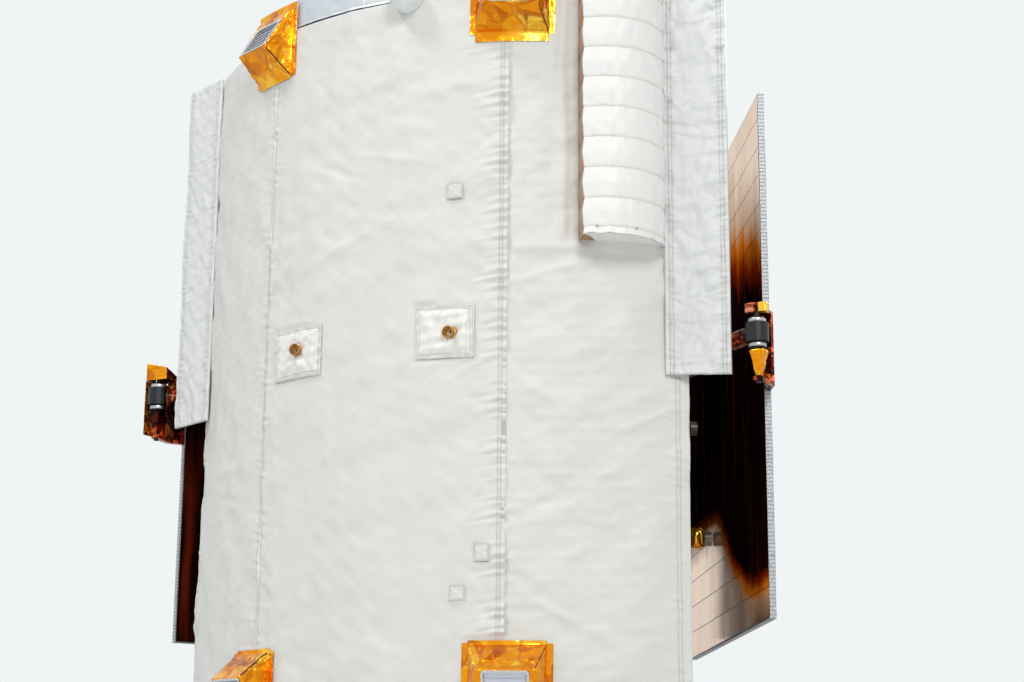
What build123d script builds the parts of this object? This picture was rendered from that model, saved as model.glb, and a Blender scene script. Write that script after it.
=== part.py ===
"""Planetary orbiter with a curved cloth sunshade, stowed as for launch, standing on its ring.

Millimetres.  Origin: centre of the separation ring's lower face.  +Z up, -Y towards the sun,
+X to the right when the shade is looked at from the sun side.
Angles on the shade are measured about the Z axis from the sun line, positive towards +X.
"""
import os
from math import cos, radians, sin, tan

from build123d import *

os.makedirs("parts", exist_ok=True)


def save(piece, name):
    """Label one finished piece and write it to its own file."""
    piece.part.label = name
    export_step(piece.part, f"parts/{name}.step")


# Driving sizes of the bus
SIDES = (("left", -1), ("right", 1))
BUS_HALF_WIDTH = 600
BUS_FRONT = -520
BUS_WAIST = 0
BUS_BACK = 520
PANEL_ANGLE = 30
BUS_REAR_HALF_WIDTH = BUS_HALF_WIDTH - (BUS_BACK - BUS_WAIST) * tan(radians(PANEL_ANGLE))
WALL = 20
DECK = 25
RING_HEIGHT = 230
DECK_TOP = 1950

# Driving sizes of the sunshade
SHADE_R = 1180
SHADE_HALF_ANGLE = 50
SHADE_BOTTOM = 100
SHADE_TOP = 2605
CLOTH = 8
GAP = 0.3
SEAM_ANGLE = 21.7

# Driving sizes of the arrays
PANEL_EDGE = (1101, -609)
PANEL_WIDTH = 1550
PANEL_BOTTOM = 625
PANEL_HEIGHT = 1697
PANEL = 20
HINGE = (1127, -743)
HINGE_BOTTOM = 1335
HINGE_TOP = 1572
PIN_R = 8
PIN_FIT = 0.06

panel_normal = (cos(radians(PANEL_ANGLE)), sin(radians(PANEL_ANGLE)))
panel_run = (-sin(radians(PANEL_ANGLE)), cos(radians(PANEL_ANGLE)))
wall_bottom = RING_HEIGHT + DECK
wall_top = DECK_TOP - DECK
shade_face = SHADE_R + GAP


def on_shade(radius, angle):
    """Plan point at a radius and an angle from the sun line."""
    return (radius * sin(radians(angle)), -radius * cos(radians(angle)))


def shade_band(outer_radius, inner_radius, first, last):
    """Plan face of a strip of the shade between two angles."""
    with BuildLine() as outline:
        outer = CenterArc((0, 0), outer_radius, 270 + first, last - first)
        inner = CenterArc((0, 0), inner_radius, 270 + first, last - first)
        Line(outer @ 0, inner @ 0)
        Line(outer @ 1, inner @ 1)
    make_face(outline.edges())


def tube(start, end, radius):
    """Round bar from one point to another, added to the part being built."""
    run = Vector(*end) - Vector(*start)
    with BuildSketch(Plane(origin=start, z_dir=run.normalized())) as end_face:
        Circle(radius)
    extrude(end_face.sketch, amount=run.length)


# Separation ring: two flanges on a thin web, with the bolt circle in the lower flange.
RING_WEB_R = 452
RING_WEB = 6
RING_FLANGE = 12
RING_OUTER_LIP = 14
RING_INNER_LIP = 16
BOLT_COUNT = 24
BOLT_R = 4.5
web_outer_r = RING_WEB_R + RING_WEB
ring_outer_r = web_outer_r + RING_OUTER_LIP
ring_inner_r = RING_WEB_R - RING_INNER_LIP
bolt_circle_r = web_outer_r + RING_OUTER_LIP / 2
RING_PROFILE = [
    (RING_WEB_R, 0),
    (ring_outer_r, 0),
    (ring_outer_r, RING_FLANGE),
    (web_outer_r, RING_FLANGE),
    (web_outer_r, RING_HEIGHT - RING_FLANGE),
    (ring_outer_r, RING_HEIGHT - RING_FLANGE),
    (ring_outer_r, RING_HEIGHT),
    (ring_inner_r, RING_HEIGHT),
    (ring_inner_r, RING_HEIGHT - RING_FLANGE),
    (RING_WEB_R, RING_HEIGHT - RING_FLANGE),
]
with BuildPart() as separation_ring:
    with BuildSketch(Plane.XZ):
        Polygon(*RING_PROFILE, align=None)
    revolve(axis=Axis.Z)
    with PolarLocations(bolt_circle_r, BOLT_COUNT):
        Cylinder(BOLT_R, 3 * RING_FLANGE, mode=Mode.SUBTRACT)
save(separation_ring, "separation_ring")


# Bus: two honeycomb decks and six honeycomb walls with mitred corners.
BUS_OUTLINE = [
    (-BUS_HALF_WIDTH, BUS_FRONT),
    (BUS_HALF_WIDTH, BUS_FRONT),
    (BUS_HALF_WIDTH, BUS_WAIST),
    (BUS_REAR_HALF_WIDTH, BUS_BACK),
    (-BUS_REAR_HALF_WIDTH, BUS_BACK),
    (-BUS_HALF_WIDTH, BUS_WAIST),
]
HOIST_SPACING_X = 900
HOIST_SPACING_Y = 380
HOIST_Y = -240
HOIST_R = 6
HOIST_DEPTH = 12
BOSS_R = 22
BOSS = 18


def inset(outline, amount):
    """Corners of a counter-clockwise outline moved inwards by an equal wall."""
    corners = []
    for index, corner in enumerate(outline):
        before = Vector(*corner) - Vector(*outline[index - 1])
        after = Vector(*outline[(index + 1) % len(outline)]) - Vector(*corner)
        left = Vector(-before.Y, before.X).normalized()
        right = Vector(-after.Y, after.X).normalized()
        mitre = (left + right) * (amount / (1 + left.dot(right)))
        corners.append((corner[0] + mitre.X, corner[1] + mitre.Y))
    return corners


with BuildPart() as lower_deck:
    with BuildSketch(Plane.XY.offset(RING_HEIGHT)):
        Polygon(*BUS_OUTLINE, align=None)
    extrude(amount=DECK)
save(lower_deck, "lower_deck")

with BuildPart() as upper_deck:
    with BuildSketch(Plane.XY.offset(wall_top)):
        Polygon(*BUS_OUTLINE, align=None)
    extrude(amount=DECK)
    with BuildSketch(Plane.XY.offset(DECK_TOP)):
        with Locations((0, HOIST_Y)):
            with GridLocations(HOIST_SPACING_X, HOIST_SPACING_Y, 2, 2):
                Circle(BOSS_R)
    extrude(amount=BOSS)
    with BuildSketch(Plane.XY.offset(DECK_TOP + BOSS)):
        with Locations((0, HOIST_Y)):
            with GridLocations(HOIST_SPACING_X, HOIST_SPACING_Y, 2, 2):
                Circle(HOIST_R)
    extrude(amount=-BOSS - HOIST_DEPTH, mode=Mode.SUBTRACT)
save(upper_deck, "upper_deck")

# Walls in the order of the outline's edges
WALL_NAMES = ("wall_front", "wall_right", "wall_rear_right", "wall_rear", "wall_rear_left", "wall_left")
inner_outline = inset(BUS_OUTLINE, WALL)
for index, name in enumerate(WALL_NAMES):
    following = (index + 1) % len(BUS_OUTLINE)
    with BuildPart() as wall:
        with BuildSketch(Plane.XY.offset(wall_bottom)):
            Polygon(
                BUS_OUTLINE[index],
                BUS_OUTLINE[following],
                inner_outline[following],
                inner_outline[index],
                align=None,
            )
        extrude(amount=wall_top - wall_bottom)
    save(wall, name)


# Sunshade cloth: one curved blanket with a hole for each sun-side nozzle.
NOZZLE_X = 277
NOZZLE_Z = 1480
NOZZLE_RECESS = 3
NOZZLE_HOLE_R = 26
FRAME_TUBE_R = 12.5
POST_R = 10
FRAME_EDGE_ANGLE = 49
FLAP_ROOT_ANGLE = 46.2
FLAP_STAND_OFF = 0.4
FLAP_WIDTH = 205.6
FLAP_TURN = 21.7
FLAP_BOTTOM = 1363
FLAP_TOP = 2626
FLAP = 10
FLAP_ARM_R = 7
FLAP_ARM_HEIGHTS = (1400, 1900, 2530)
FLAP_ARM_SHORT = 14
NOTCH_CLEARANCE = 1
frame_radius = SHADE_R - CLOTH - FRAME_TUBE_R - GAP
flap_run = Vector(cos(radians(FLAP_TURN)), sin(radians(FLAP_TURN)))
flap_out = Vector(flap_run.Y, -flap_run.X)
flap_inner = Vector(*on_shade(SHADE_R + FLAP_STAND_OFF, FLAP_ROOT_ANGLE))
flap_outer = flap_inner + flap_run * FLAP_WIDTH
flap_arm_tip = flap_outer - flap_run * FLAP_ARM_SHORT - flap_out * (FLAP_ARM_R + GAP)


def flap_arms(side, radius):
    """Bars from the frame's side post to behind the flap's outer edge."""
    foot = on_shade(frame_radius, side * FRAME_EDGE_ANGLE)
    for height in FLAP_ARM_HEIGHTS:
        tube((*foot, height), (side * flap_arm_tip.X, flap_arm_tip.Y, height), radius)


with BuildPart() as cloth_notches:
    for side_name, side in SIDES:
        flap_arms(side, FLAP_ARM_R + NOTCH_CLEARANCE)
with BuildPart() as shade_cloth:
    with BuildSketch(Plane.XY.offset(SHADE_BOTTOM)):
        shade_band(SHADE_R, SHADE_R - CLOTH, -SHADE_HALF_ANGLE, SHADE_HALF_ANGLE)
    extrude(amount=SHADE_TOP - SHADE_BOTTOM)
    with Locations((-NOZZLE_X, -SHADE_R, NOZZLE_Z), (NOZZLE_X, -SHADE_R, NOZZLE_Z)):
        Cylinder(NOZZLE_HOLE_R, SHADE_R / 2, rotation=(90, 0, 0), mode=Mode.SUBTRACT)
    add(cloth_notches.part, mode=Mode.SUBTRACT)
save(shade_cloth, "shade_cloth")

# Shade frame, hoops: round tubes bent to the shade's curve just behind the cloth.
HOOP_HEIGHTS = (125, 720, 1300, 1960, 2580)
POST_ANGLES = (-FRAME_EDGE_ANGLE, -SEAM_ANGLE, SEAM_ANGLE, FRAME_EDGE_ANGLE)
with BuildPart() as shade_hoops:
    for height in HOOP_HEIGHTS:
        start = on_shade(frame_radius, -FRAME_EDGE_ANGLE)
        along = Vector(cos(radians(-FRAME_EDGE_ANGLE)), sin(radians(-FRAME_EDGE_ANGLE)), 0)
        with BuildSketch(Plane(origin=(*start, height), z_dir=along)):
            Circle(FRAME_TUBE_R)
        revolve(axis=Axis.Z, revolution_arc=2 * FRAME_EDGE_ANGLE)
save(shade_hoops, "shade_hoops")

# Shade frame, posts: slimmer tubes with their ends coped to the hoops and welded between them,
# and short arms that reach out behind the two side flaps.
with BuildPart() as shade_posts:
    for angle in POST_ANGLES:
        foot = on_shade(frame_radius, angle)
        tube((*foot, HOOP_HEIGHTS[0]), (*foot, HOOP_HEIGHTS[-1]), POST_R)
    for side_name, side in SIDES:
        flap_arms(side, FLAP_ARM_R)
    add(shade_hoops.part, mode=Mode.SUBTRACT)
save(shade_posts, "shade_posts")

# Struts that carry the frame from the bus: height at the bus, angle and height at the frame
STRUT_R = 10
STRUT_INSET = 30
STRUT_FOOT = 44
STRUT_FOOT_DEPTH = 26
STRUT_EYE_R = 14
STRUT_EYE = 34
STRUT_LOW = 330
STRUT_MIDDLE = 1150
STRUT_TOP_INSET = 50
STRUT_HIGH = DECK_TOP - STRUT_TOP_INSET
STRUTS = [
    # bus height, frame angle, frame height
    (STRUT_LOW, FRAME_EDGE_ANGLE, HOOP_HEIGHTS[1]),
    (STRUT_LOW, SEAM_ANGLE, HOOP_HEIGHTS[0]),
    (STRUT_MIDDLE, FRAME_EDGE_ANGLE, HOOP_HEIGHTS[2]),
    (STRUT_HIGH, FRAME_EDGE_ANGLE, HOOP_HEIGHTS[3]),
    (STRUT_HIGH, SEAM_ANGLE, HOOP_HEIGHTS[4]),
]
with BuildPart() as shade_struts:
    for side_name, side in SIDES:
        for bus_height, angle, height in STRUTS:
            end = on_shade(frame_radius - FRAME_TUBE_R - GAP - STRUT_EYE_R, side * angle)
            foot = (side * (BUS_HALF_WIDTH - STRUT_INSET), BUS_FRONT - STRUT_FOOT_DEPTH / 2, bus_height)
            with Locations(foot):
                Box(STRUT_FOOT, STRUT_FOOT_DEPTH, STRUT_FOOT)
            tube(foot, (*end, height), STRUT_R)
            with Locations((*end, height)):
                Cylinder(STRUT_EYE_R, STRUT_EYE)
save(shade_struts, "shade_struts")

# Top collar: a light panel inside the shade's upper edge that rises above it.
COLLAR_FIRST = -17
COLLAR_LAST = 16
COLLAR_RISE = 135
COLLAR = 6
collar_radius = SHADE_R - CLOTH - 2 * GAP
collar_bottom = HOOP_HEIGHTS[-1] + FRAME_TUBE_R
with BuildPart() as top_collar:
    with BuildSketch(Plane.XY.offset(collar_bottom)):
        shade_band(collar_radius, collar_radius - COLLAR, COLLAR_FIRST, COLLAR_LAST)
    extrude(amount=SHADE_TOP + COLLAR_RISE - collar_bottom)
save(top_collar, "top_collar")

# Side flaps: flat hemmed blankets standing off the shade's edges in front of the array hinges.
for side_name, side in SIDES:
    with BuildPart() as shade_flap:
        with BuildSketch(Plane.XY.offset(FLAP_BOTTOM)):
            Polygon(
                (side * flap_inner.X, flap_inner.Y),
                (side * flap_outer.X, flap_outer.Y),
                (side * (flap_outer.X + flap_out.X * FLAP), flap_outer.Y + flap_out.Y * FLAP),
                (side * (flap_inner.X + flap_out.X * FLAP), flap_inner.Y + flap_out.Y * FLAP),
                align=None,
            )
        extrude(amount=FLAP_TOP - FLAP_BOTTOM)
    save(shade_flap, f"shade_flap_{side_name}")

# Quilted cover over the sun-side antenna: steep on the left, rounded over to the right.
COVER_FIRST = 32.7
COVER_MIDDLE = 40.5
COVER_LAST = FLAP_ROOT_ANGLE - 0.4
COVER_BOTTOM = 1775
COVER_TOP = 2690
COVER_DEPTHS = (95, 112, 34)
with BuildPart() as antenna_cover:
    with BuildSketch(Plane.XY.offset(COVER_BOTTOM)):
        with BuildLine():
            back = CenterArc((0, 0), shade_face, 270 + COVER_FIRST, COVER_LAST - COVER_FIRST)
            first = on_shade(SHADE_R + COVER_DEPTHS[0], COVER_FIRST)
            middle = on_shade(SHADE_R + COVER_DEPTHS[1], COVER_MIDDLE)
            last = on_shade(SHADE_R + COVER_DEPTHS[2], COVER_LAST)
            ThreePointArc(first, middle, last)
            Line(back @ 0, first)
            Line(back @ 1, last)
        make_face()
    extrude(amount=COVER_TOP - COVER_BOTTOM)
save(antenna_cover, "antenna_cover")

# Flat housing of the sun-side antenna's electronics, hung on the frame behind the cloth.
BACKING_WIDTH = 180
BACKING_DEPTH = 60
BACKING_BOTTOM = 1990
BACKING_TOP = 2560
BACKING_ANGLE = 35
BACKING_STAND_OFF = 8
backing_radius = frame_radius - FRAME_TUBE_R - GAP - BACKING_DEPTH / 2 - BACKING_STAND_OFF
backing_middle = on_shade(backing_radius, BACKING_ANGLE)
with BuildPart() as antenna_backing:
    with BuildSketch(Plane.XY.offset(BACKING_BOTTOM)):
        with Locations(Location(backing_middle, BACKING_ANGLE)):
            Rectangle(BACKING_WIDTH, BACKING_DEPTH)
    extrude(amount=BACKING_TOP - BACKING_BOTTOM)
save(antenna_backing, "antenna_backing")

# Quilted pads round the two sun-side nozzles
PAD = 6
PADS = [
    # first angle, last angle, bottom, top
    (-19.0, -8.8, 1390, 1556),
    (8.9, 16.9, 1402, 1571),
]
with BuildPart() as thruster_pads:
    for first_angle, last_angle, bottom, top in PADS:
        with BuildSketch(Plane.XY.offset(bottom)):
            shade_band(shade_face + PAD, shade_face, first_angle, last_angle)
        extrude(amount=top - bottom)
    with Locations((-NOZZLE_X, -SHADE_R, NOZZLE_Z), (NOZZLE_X, -SHADE_R, NOZZLE_Z)):
        Cylinder(NOZZLE_HOLE_R, SHADE_R / 2, rotation=(90, 0, 0), mode=Mode.SUBTRACT)
save(thruster_pads, "thruster_pads")

# Sun-side thrusters: wall flange, long stand-off tube, chamber and open bell, turned in one piece.
THRUSTER_FLANGE_R = 45
THRUSTER_FLANGE = 8
STAND_OFF_R = 18
STAND_OFF_FILLET = 6
CHAMBER_R = 14
CHAMBER_TAPER = 15
CHAMBER = 25
NOZZLE_EXIT_R = 19
NOZZLE_THROAT_R = 7
NOZZLE_WALL = 2
NOZZLE_NECK = 12
NOZZLE_THROAT = 6
NOZZLE_BELL = 39
nozzle_exit = SHADE_R - NOZZLE_RECESS + BUS_FRONT
throat_end = nozzle_exit - NOZZLE_BELL
throat_start = throat_end - NOZZLE_THROAT
chamber_end = throat_start - NOZZLE_NECK
THRUSTER_PROFILE = [
    # radius, distance along the thruster's axis from the bus wall
    (0, 0),
    (THRUSTER_FLANGE_R, 0),
    (THRUSTER_FLANGE_R, THRUSTER_FLANGE),
    (STAND_OFF_R, THRUSTER_FLANGE + STAND_OFF_FILLET),
    (STAND_OFF_R, chamber_end - CHAMBER - CHAMBER_TAPER),
    (CHAMBER_R, chamber_end - CHAMBER),
    (CHAMBER_R, chamber_end),
    (NOZZLE_THROAT_R + NOZZLE_WALL, throat_start),
    (NOZZLE_THROAT_R + NOZZLE_WALL, throat_end),
    (NOZZLE_EXIT_R, nozzle_exit),
    (NOZZLE_EXIT_R - NOZZLE_WALL, nozzle_exit),
    (NOZZLE_THROAT_R, throat_end),
    (0, throat_end - NOZZLE_WALL),
]
with BuildPart() as sun_side_thrusters:
    for side_name, side in SIDES:
        axis_plane = Plane(origin=(side * NOZZLE_X, BUS_FRONT, NOZZLE_Z), x_dir=(1, 0, 0), z_dir=(0, 0, -1))
        with BuildSketch(axis_plane):
            Polygon(*THRUSTER_PROFILE, align=None)
        revolve(axis=Axis(axis_plane.origin, axis_plane.y_dir))
save(sun_side_thrusters, "sun_side_thrusters")

# Sun sensor housings near the seams: film-wrapped wedges on a thin curved flange.  Each starts at its
# near end, towards the shade's middle, rises to an edge, and falls back behind a canted window.
HOUSING_SHEET = 2
HOUSING_HEIGHT = 273
HOUSING_CORNER = 31
WEDGE_START = 12
WEDGE_EDGE = 94
WEDGE_END = 248
WEDGE_DEPTH = 100
WEDGE_END_DEPTH = 8
WEDGE_FOOT = 26
WINDOW_WIDTH = 128
WINDOW_HEIGHT = 120
WINDOW_MARGIN = 8
WINDOW_RECESS = 12
HOUSING_ENDS = {
    # node: near end's height, way to the far end
    "sensor_boxes_upper": (2437, 1),
    "sensor_boxes_lower": (540, -1),
}
HOUSING_PLACES = [
    # angle of the middle, wedge's half width at its edge, flange's half angle, half angle at its corners
    (-22.1, 76, 5.3, 4.2),
    (22.4, 86, 6.6, 5.65),
]
WEDGE_PROFILE = [
    # distance from the sun side of the cloth, distance from the near end
    (0, WEDGE_START),
    (WEDGE_DEPTH, WEDGE_EDGE),
    (WEDGE_END_DEPTH, WEDGE_END),
    (0, WEDGE_END),
]


def window_plane(angle, near, way):
    """Plane of a housing's window: at the window's middle, X up the slope, Z out of it."""
    outward = Vector(*on_shade(1, angle), 0)
    upward = Vector(0, 0, way)
    edge = outward * (shade_face + WEDGE_DEPTH) + Vector(0, 0, near) + upward * WEDGE_EDGE
    end = outward * (shade_face + WEDGE_END_DEPTH) + Vector(0, 0, near) + upward * WEDGE_END
    slope = (end - edge).normalized()
    normal = (outward - slope * outward.dot(slope)).normalized()
    return Plane(origin=edge + slope * (WINDOW_MARGIN + WINDOW_HEIGHT / 2), x_dir=slope, z_dir=normal)


for name, (near, way) in HOUSING_ENDS.items():
    housings = []
    for angle, half_width, half_angle, corner_angle in HOUSING_PLACES:
        outward = Vector(*on_shade(1, angle), 0)
        sideways = Vector(-outward.Y, outward.X, 0)
        side_plane = Plane(origin=(0, 0, near), x_dir=outward, z_dir=outward.cross(Vector(0, 0, way)))
        low = min(near, near + way * HOUSING_HEIGHT)
        with BuildPart() as housing:
            with BuildSketch(side_plane):
                Polygon(*[(shade_face + depth, along) for depth, along in WEDGE_PROFILE], align=None)
            extrude(amount=half_width + 2 * WEDGE_FOOT, both=True)
            with BuildSketch(Plane.XY.offset(low)):
                with BuildLine():
                    foot = CenterArc((0, 0), shade_face, 270 + angle - corner_angle, 2 * corner_angle)
                    front = outward * (shade_face + WEDGE_DEPTH)
                    Polyline(
                        foot @ 0,
                        tuple(front - sideways * half_width)[:2],
                        tuple(front + sideways * half_width)[:2],
                        foot @ 1,
                    )
                make_face()
            extrude(amount=HOUSING_HEIGHT, mode=Mode.INTERSECT)
            with BuildSketch(Plane.XY.offset(low)):
                shade_band(shade_face + HOUSING_SHEET, shade_face, angle - corner_angle, angle + corner_angle)
            extrude(amount=HOUSING_HEIGHT)
            with BuildSketch(Plane.XY.offset(low + HOUSING_CORNER)):
                shade_band(shade_face + HOUSING_SHEET, shade_face, angle - half_angle, angle + half_angle)
            extrude(amount=HOUSING_HEIGHT - 2 * HOUSING_CORNER)
            with BuildSketch(window_plane(angle, near, way)):
                Rectangle(WINDOW_HEIGHT, WINDOW_WIDTH)
            extrude(amount=-WINDOW_RECESS, mode=Mode.SUBTRACT)
        housings.append(housing.part)
    with BuildPart() as sensor_boxes:
        for housing_part in housings:
            add(housing_part)
    save(sensor_boxes, name)

# Sun sensor heads: ribbed plates at the bottom of the four windows
HEAD = 8
HEAD_CLEARANCE = 4
HEAD_RIBS = 6
HEAD_GROOVE = 7
HEAD_GROOVE_DEPTH = 3
with BuildPart() as sun_sensor_heads:
    for near, way in HOUSING_ENDS.values():
        for angle, half_width, half_angle, corner_angle in HOUSING_PLACES:
            floor = window_plane(angle, near, way).offset(-WINDOW_RECESS)
            with BuildSketch(floor):
                Rectangle(WINDOW_HEIGHT - 2 * HEAD_CLEARANCE, WINDOW_WIDTH - 2 * HEAD_CLEARANCE)
            extrude(amount=HEAD)
            with BuildSketch(floor.offset(HEAD)):
                with GridLocations(WINDOW_HEIGHT / HEAD_RIBS, 1, HEAD_RIBS - 1, 1):
                    Rectangle(HEAD_GROOVE, WINDOW_WIDTH - 4 * HEAD_CLEARANCE)
            extrude(amount=-HEAD_GROOVE_DEPTH, mode=Mode.SUBTRACT)
save(sun_sensor_heads, "sun_sensor_heads")

# Low-gain antenna: a white cup with a round nose in front of the shade's upper edge.
DOME_R = 52
DOME_ANGLE = 5.6
DOME_Z = SHADE_TOP + 9
DOME_BODY = 40
DOME_STAND_OFF = 3
DOME_TAB_WIDTH = 36
DOME_TAB_HEIGHT = 40
dome_out = Vector(*on_shade(1, DOME_ANGLE), 0)
dome_foot = Vector(*on_shade(SHADE_R + DOME_STAND_OFF, DOME_ANGLE), DOME_Z)
dome_plane = Plane(origin=dome_foot, x_dir=dome_out, z_dir=dome_out.cross(Vector(0, 0, 1)))
with BuildPart() as low_gain_antenna:
    with BuildSketch(dome_plane):
        with BuildLine():
            Polyline((DOME_BODY + DOME_R, 0), (0, 0), (0, DOME_R), (DOME_BODY, DOME_R))
            CenterArc((DOME_BODY, 0), DOME_R, 0, 90)
        make_face()
    revolve(axis=Axis(dome_foot, dome_out))
    with BuildSketch(Plane(origin=dome_foot, x_dir=(0, 0, 1), z_dir=-dome_out)):
        with Locations((DOME_TAB_HEIGHT / 2, 0)):
            Rectangle(DOME_TAB_HEIGHT, DOME_TAB_WIDTH)
    extrude(amount=DOME_STAND_OFF + CLOTH)
save(low_gain_antenna, "low_gain_antenna")


# Main engine on the upper deck: mount, chamber, throat and open bell, turned in one piece.
ENGINE_MOUNT_R = 90
ENGINE_MOUNT = 12
ENGINE_CHAMBER_R = 48
ENGINE_CHAMBER_TOP = 140
ENGINE_THROAT_R = 20
ENGINE_THROAT_HEIGHT = 180
ENGINE_EXIT_R = 150
ENGINE_HEIGHT = 450
ENGINE_WALL = 3
BELL_MIDDLE_R = 72
BELL_MIDDLE_HEIGHT = 250
BELL_LIP = 6
with BuildPart() as main_engine:
    with BuildSketch(Plane.XZ.offset(0).shift_origin((0, 0, DECK_TOP))):
        with BuildLine():
            Polyline(
                (0, ENGINE_THROAT_HEIGHT - ENGINE_WALL),
                (0, 0),
                (ENGINE_MOUNT_R, 0),
                (ENGINE_MOUNT_R, ENGINE_MOUNT),
                (ENGINE_CHAMBER_R, 2 * ENGINE_MOUNT),
                (ENGINE_CHAMBER_R, ENGINE_CHAMBER_TOP),
                (ENGINE_THROAT_R + ENGINE_WALL, ENGINE_THROAT_HEIGHT),
            )
            ThreePointArc(
                (ENGINE_THROAT_R + ENGINE_WALL, ENGINE_THROAT_HEIGHT),
                (BELL_MIDDLE_R + ENGINE_WALL, BELL_MIDDLE_HEIGHT),
                (ENGINE_EXIT_R, ENGINE_HEIGHT - BELL_LIP),
            )
            Polyline(
                (ENGINE_EXIT_R, ENGINE_HEIGHT - BELL_LIP),
                (ENGINE_EXIT_R + ENGINE_WALL, ENGINE_HEIGHT - BELL_LIP),
                (ENGINE_EXIT_R + ENGINE_WALL, ENGINE_HEIGHT),
                (ENGINE_EXIT_R - ENGINE_WALL, ENGINE_HEIGHT),
            )
            ThreePointArc(
                (ENGINE_EXIT_R - ENGINE_WALL, ENGINE_HEIGHT),
                (BELL_MIDDLE_R, BELL_MIDDLE_HEIGHT),
                (ENGINE_THROAT_R, ENGINE_THROAT_HEIGHT),
            )
            Line((ENGINE_THROAT_R, ENGINE_THROAT_HEIGHT), (0, ENGINE_THROAT_HEIGHT - ENGINE_WALL))
        make_face()
    revolve(axis=Axis.Z)
save(main_engine, "main_engine")

# Heat shield: an open cone round the engine's chamber, with a foot flange on the deck.
SHIELD = 3
SHIELD_FOOT_R = 230
SHIELD_RIM_R = 190
SHIELD_HEIGHT = 210
SHIELD_FLANGE = 22
with BuildPart() as engine_heat_shield:
    with BuildSketch(Plane.XZ):
        Polygon(
            (SHIELD_FOOT_R, DECK_TOP),
            (SHIELD_FOOT_R + SHIELD_FLANGE, DECK_TOP),
            (SHIELD_FOOT_R + SHIELD_FLANGE, DECK_TOP + SHIELD),
            (SHIELD_FOOT_R + SHIELD, DECK_TOP + SHIELD),
            (SHIELD_RIM_R + SHIELD, DECK_TOP + SHIELD_HEIGHT),
            (SHIELD_RIM_R, DECK_TOP + SHIELD_HEIGHT),
            align=None,
        )
    revolve(axis=Axis.Z)
save(engine_heat_shield, "engine_heat_shield")

# Four medium thrusters at the corners of the engine's field, bells upwards
THRUSTER_SPACING_X = 640
THRUSTER_SPACING_Y = 620
SMALL_FOOT_R = 34
SMALL_FOOT = 8
SMALL_BODY_R = 20
SMALL_BODY_TOP = 70
SMALL_THROAT_R = 9
SMALL_THROAT_HEIGHT = 88
SMALL_EXIT_R = 36
SMALL_HEIGHT = 165
SMALL_WALL = 2
SMALL_PROFILE = [
    # radius, height above the deck
    (0, 0),
    (SMALL_FOOT_R, 0),
    (SMALL_FOOT_R, SMALL_FOOT),
    (SMALL_BODY_R, 2 * SMALL_FOOT),
    (SMALL_BODY_R, SMALL_BODY_TOP),
    (SMALL_THROAT_R + SMALL_WALL, SMALL_THROAT_HEIGHT),
    (SMALL_EXIT_R, SMALL_HEIGHT),
    (SMALL_EXIT_R - SMALL_WALL, SMALL_HEIGHT),
    (SMALL_THROAT_R, SMALL_THROAT_HEIGHT),
    (0, SMALL_THROAT_HEIGHT - SMALL_WALL),
]
with BuildPart() as deck_thrusters:
    for across in (-THRUSTER_SPACING_X / 2, THRUSTER_SPACING_X / 2):
        for along in (-THRUSTER_SPACING_Y / 2, THRUSTER_SPACING_Y / 2):
            with BuildSketch(Plane(origin=(across, along, DECK_TOP), x_dir=(1, 0, 0), z_dir=(0, -1, 0))):
                Polygon(*SMALL_PROFILE, align=None)
            revolve(axis=Axis((across, along, 0), (0, 0, 1)))
save(deck_thrusters, "deck_thrusters")

# Star trackers: two open flared baffles on camera boxes at the rear of the upper deck
BAFFLE_X = 120
BAFFLE_Y = 440
CAMERA_SIZE = 110
CAMERA_HEIGHT = 60
CAMERA_CHAMFER = 8
BAFFLE_ROOT_R = 38
BAFFLE_RIM_R = 70
BAFFLE_HEIGHT = 160
BAFFLE_WALL = 3
LENS_R = 22
LENS_HEIGHT = 20
with BuildPart() as star_trackers:
    for side_name, side in SIDES:
        centre = (side * BAFFLE_X, BAFFLE_Y)
        with BuildSketch(Plane.XY.offset(DECK_TOP)):
            with Locations(centre):
                chamfer(Rectangle(CAMERA_SIZE, CAMERA_SIZE).vertices(), CAMERA_CHAMFER)
        extrude(amount=CAMERA_HEIGHT)
        camera_top = (*centre, DECK_TOP + CAMERA_HEIGHT)
        with BuildSketch(Plane(origin=camera_top, x_dir=(1, 0, 0), z_dir=(0, -1, 0))):
            Polygon(
                (0, -BAFFLE_WALL),
                (BAFFLE_ROOT_R, -BAFFLE_WALL),
                (BAFFLE_ROOT_R, 0),
                (BAFFLE_RIM_R, BAFFLE_HEIGHT),
                (BAFFLE_RIM_R - BAFFLE_WALL, BAFFLE_HEIGHT),
                (BAFFLE_ROOT_R - BAFFLE_WALL, 0),
                (LENS_R, 0),
                (LENS_R, LENS_HEIGHT),
                (0, LENS_HEIGHT),
                align=None,
            )
        revolve(axis=Axis((*centre, 0), (0, 0, 1)))
save(star_trackers, "star_trackers")

# Electronics boxes on the side walls: flanged housings with cooling fins on their outer faces
UNIT_Y = -350
UNIT_WIDTH = 260
UNIT_DEPTH = 84
UNIT_FLANGE = 6
UNIT_LIP = 18
UNIT_FIN = 4
UNIT_FIN_DEPTH = 8
UNIT_FINS = 7
UNITS = [
    # bottom, height
    (420, 330),
    (800, 420),
]


def finned_unit(face_plane, width, height, depth, fins):
    """Housing on a wall plane: mounting flange, box, and upright fins on its outer face."""
    with BuildSketch(face_plane) as flange:
        Rectangle(width + 2 * UNIT_LIP, height)
    extrude(flange.sketch, amount=UNIT_FLANGE)
    with BuildSketch(face_plane) as box:
        Rectangle(width, height)
    extrude(box.sketch, amount=depth)
    with BuildSketch(face_plane.offset(depth)) as fin_feet:
        with GridLocations(width / fins, 1, fins, 1):
            Rectangle(UNIT_FIN, height - 2 * UNIT_LIP)
    extrude(fin_feet.sketch, amount=UNIT_FIN_DEPTH)


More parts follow.
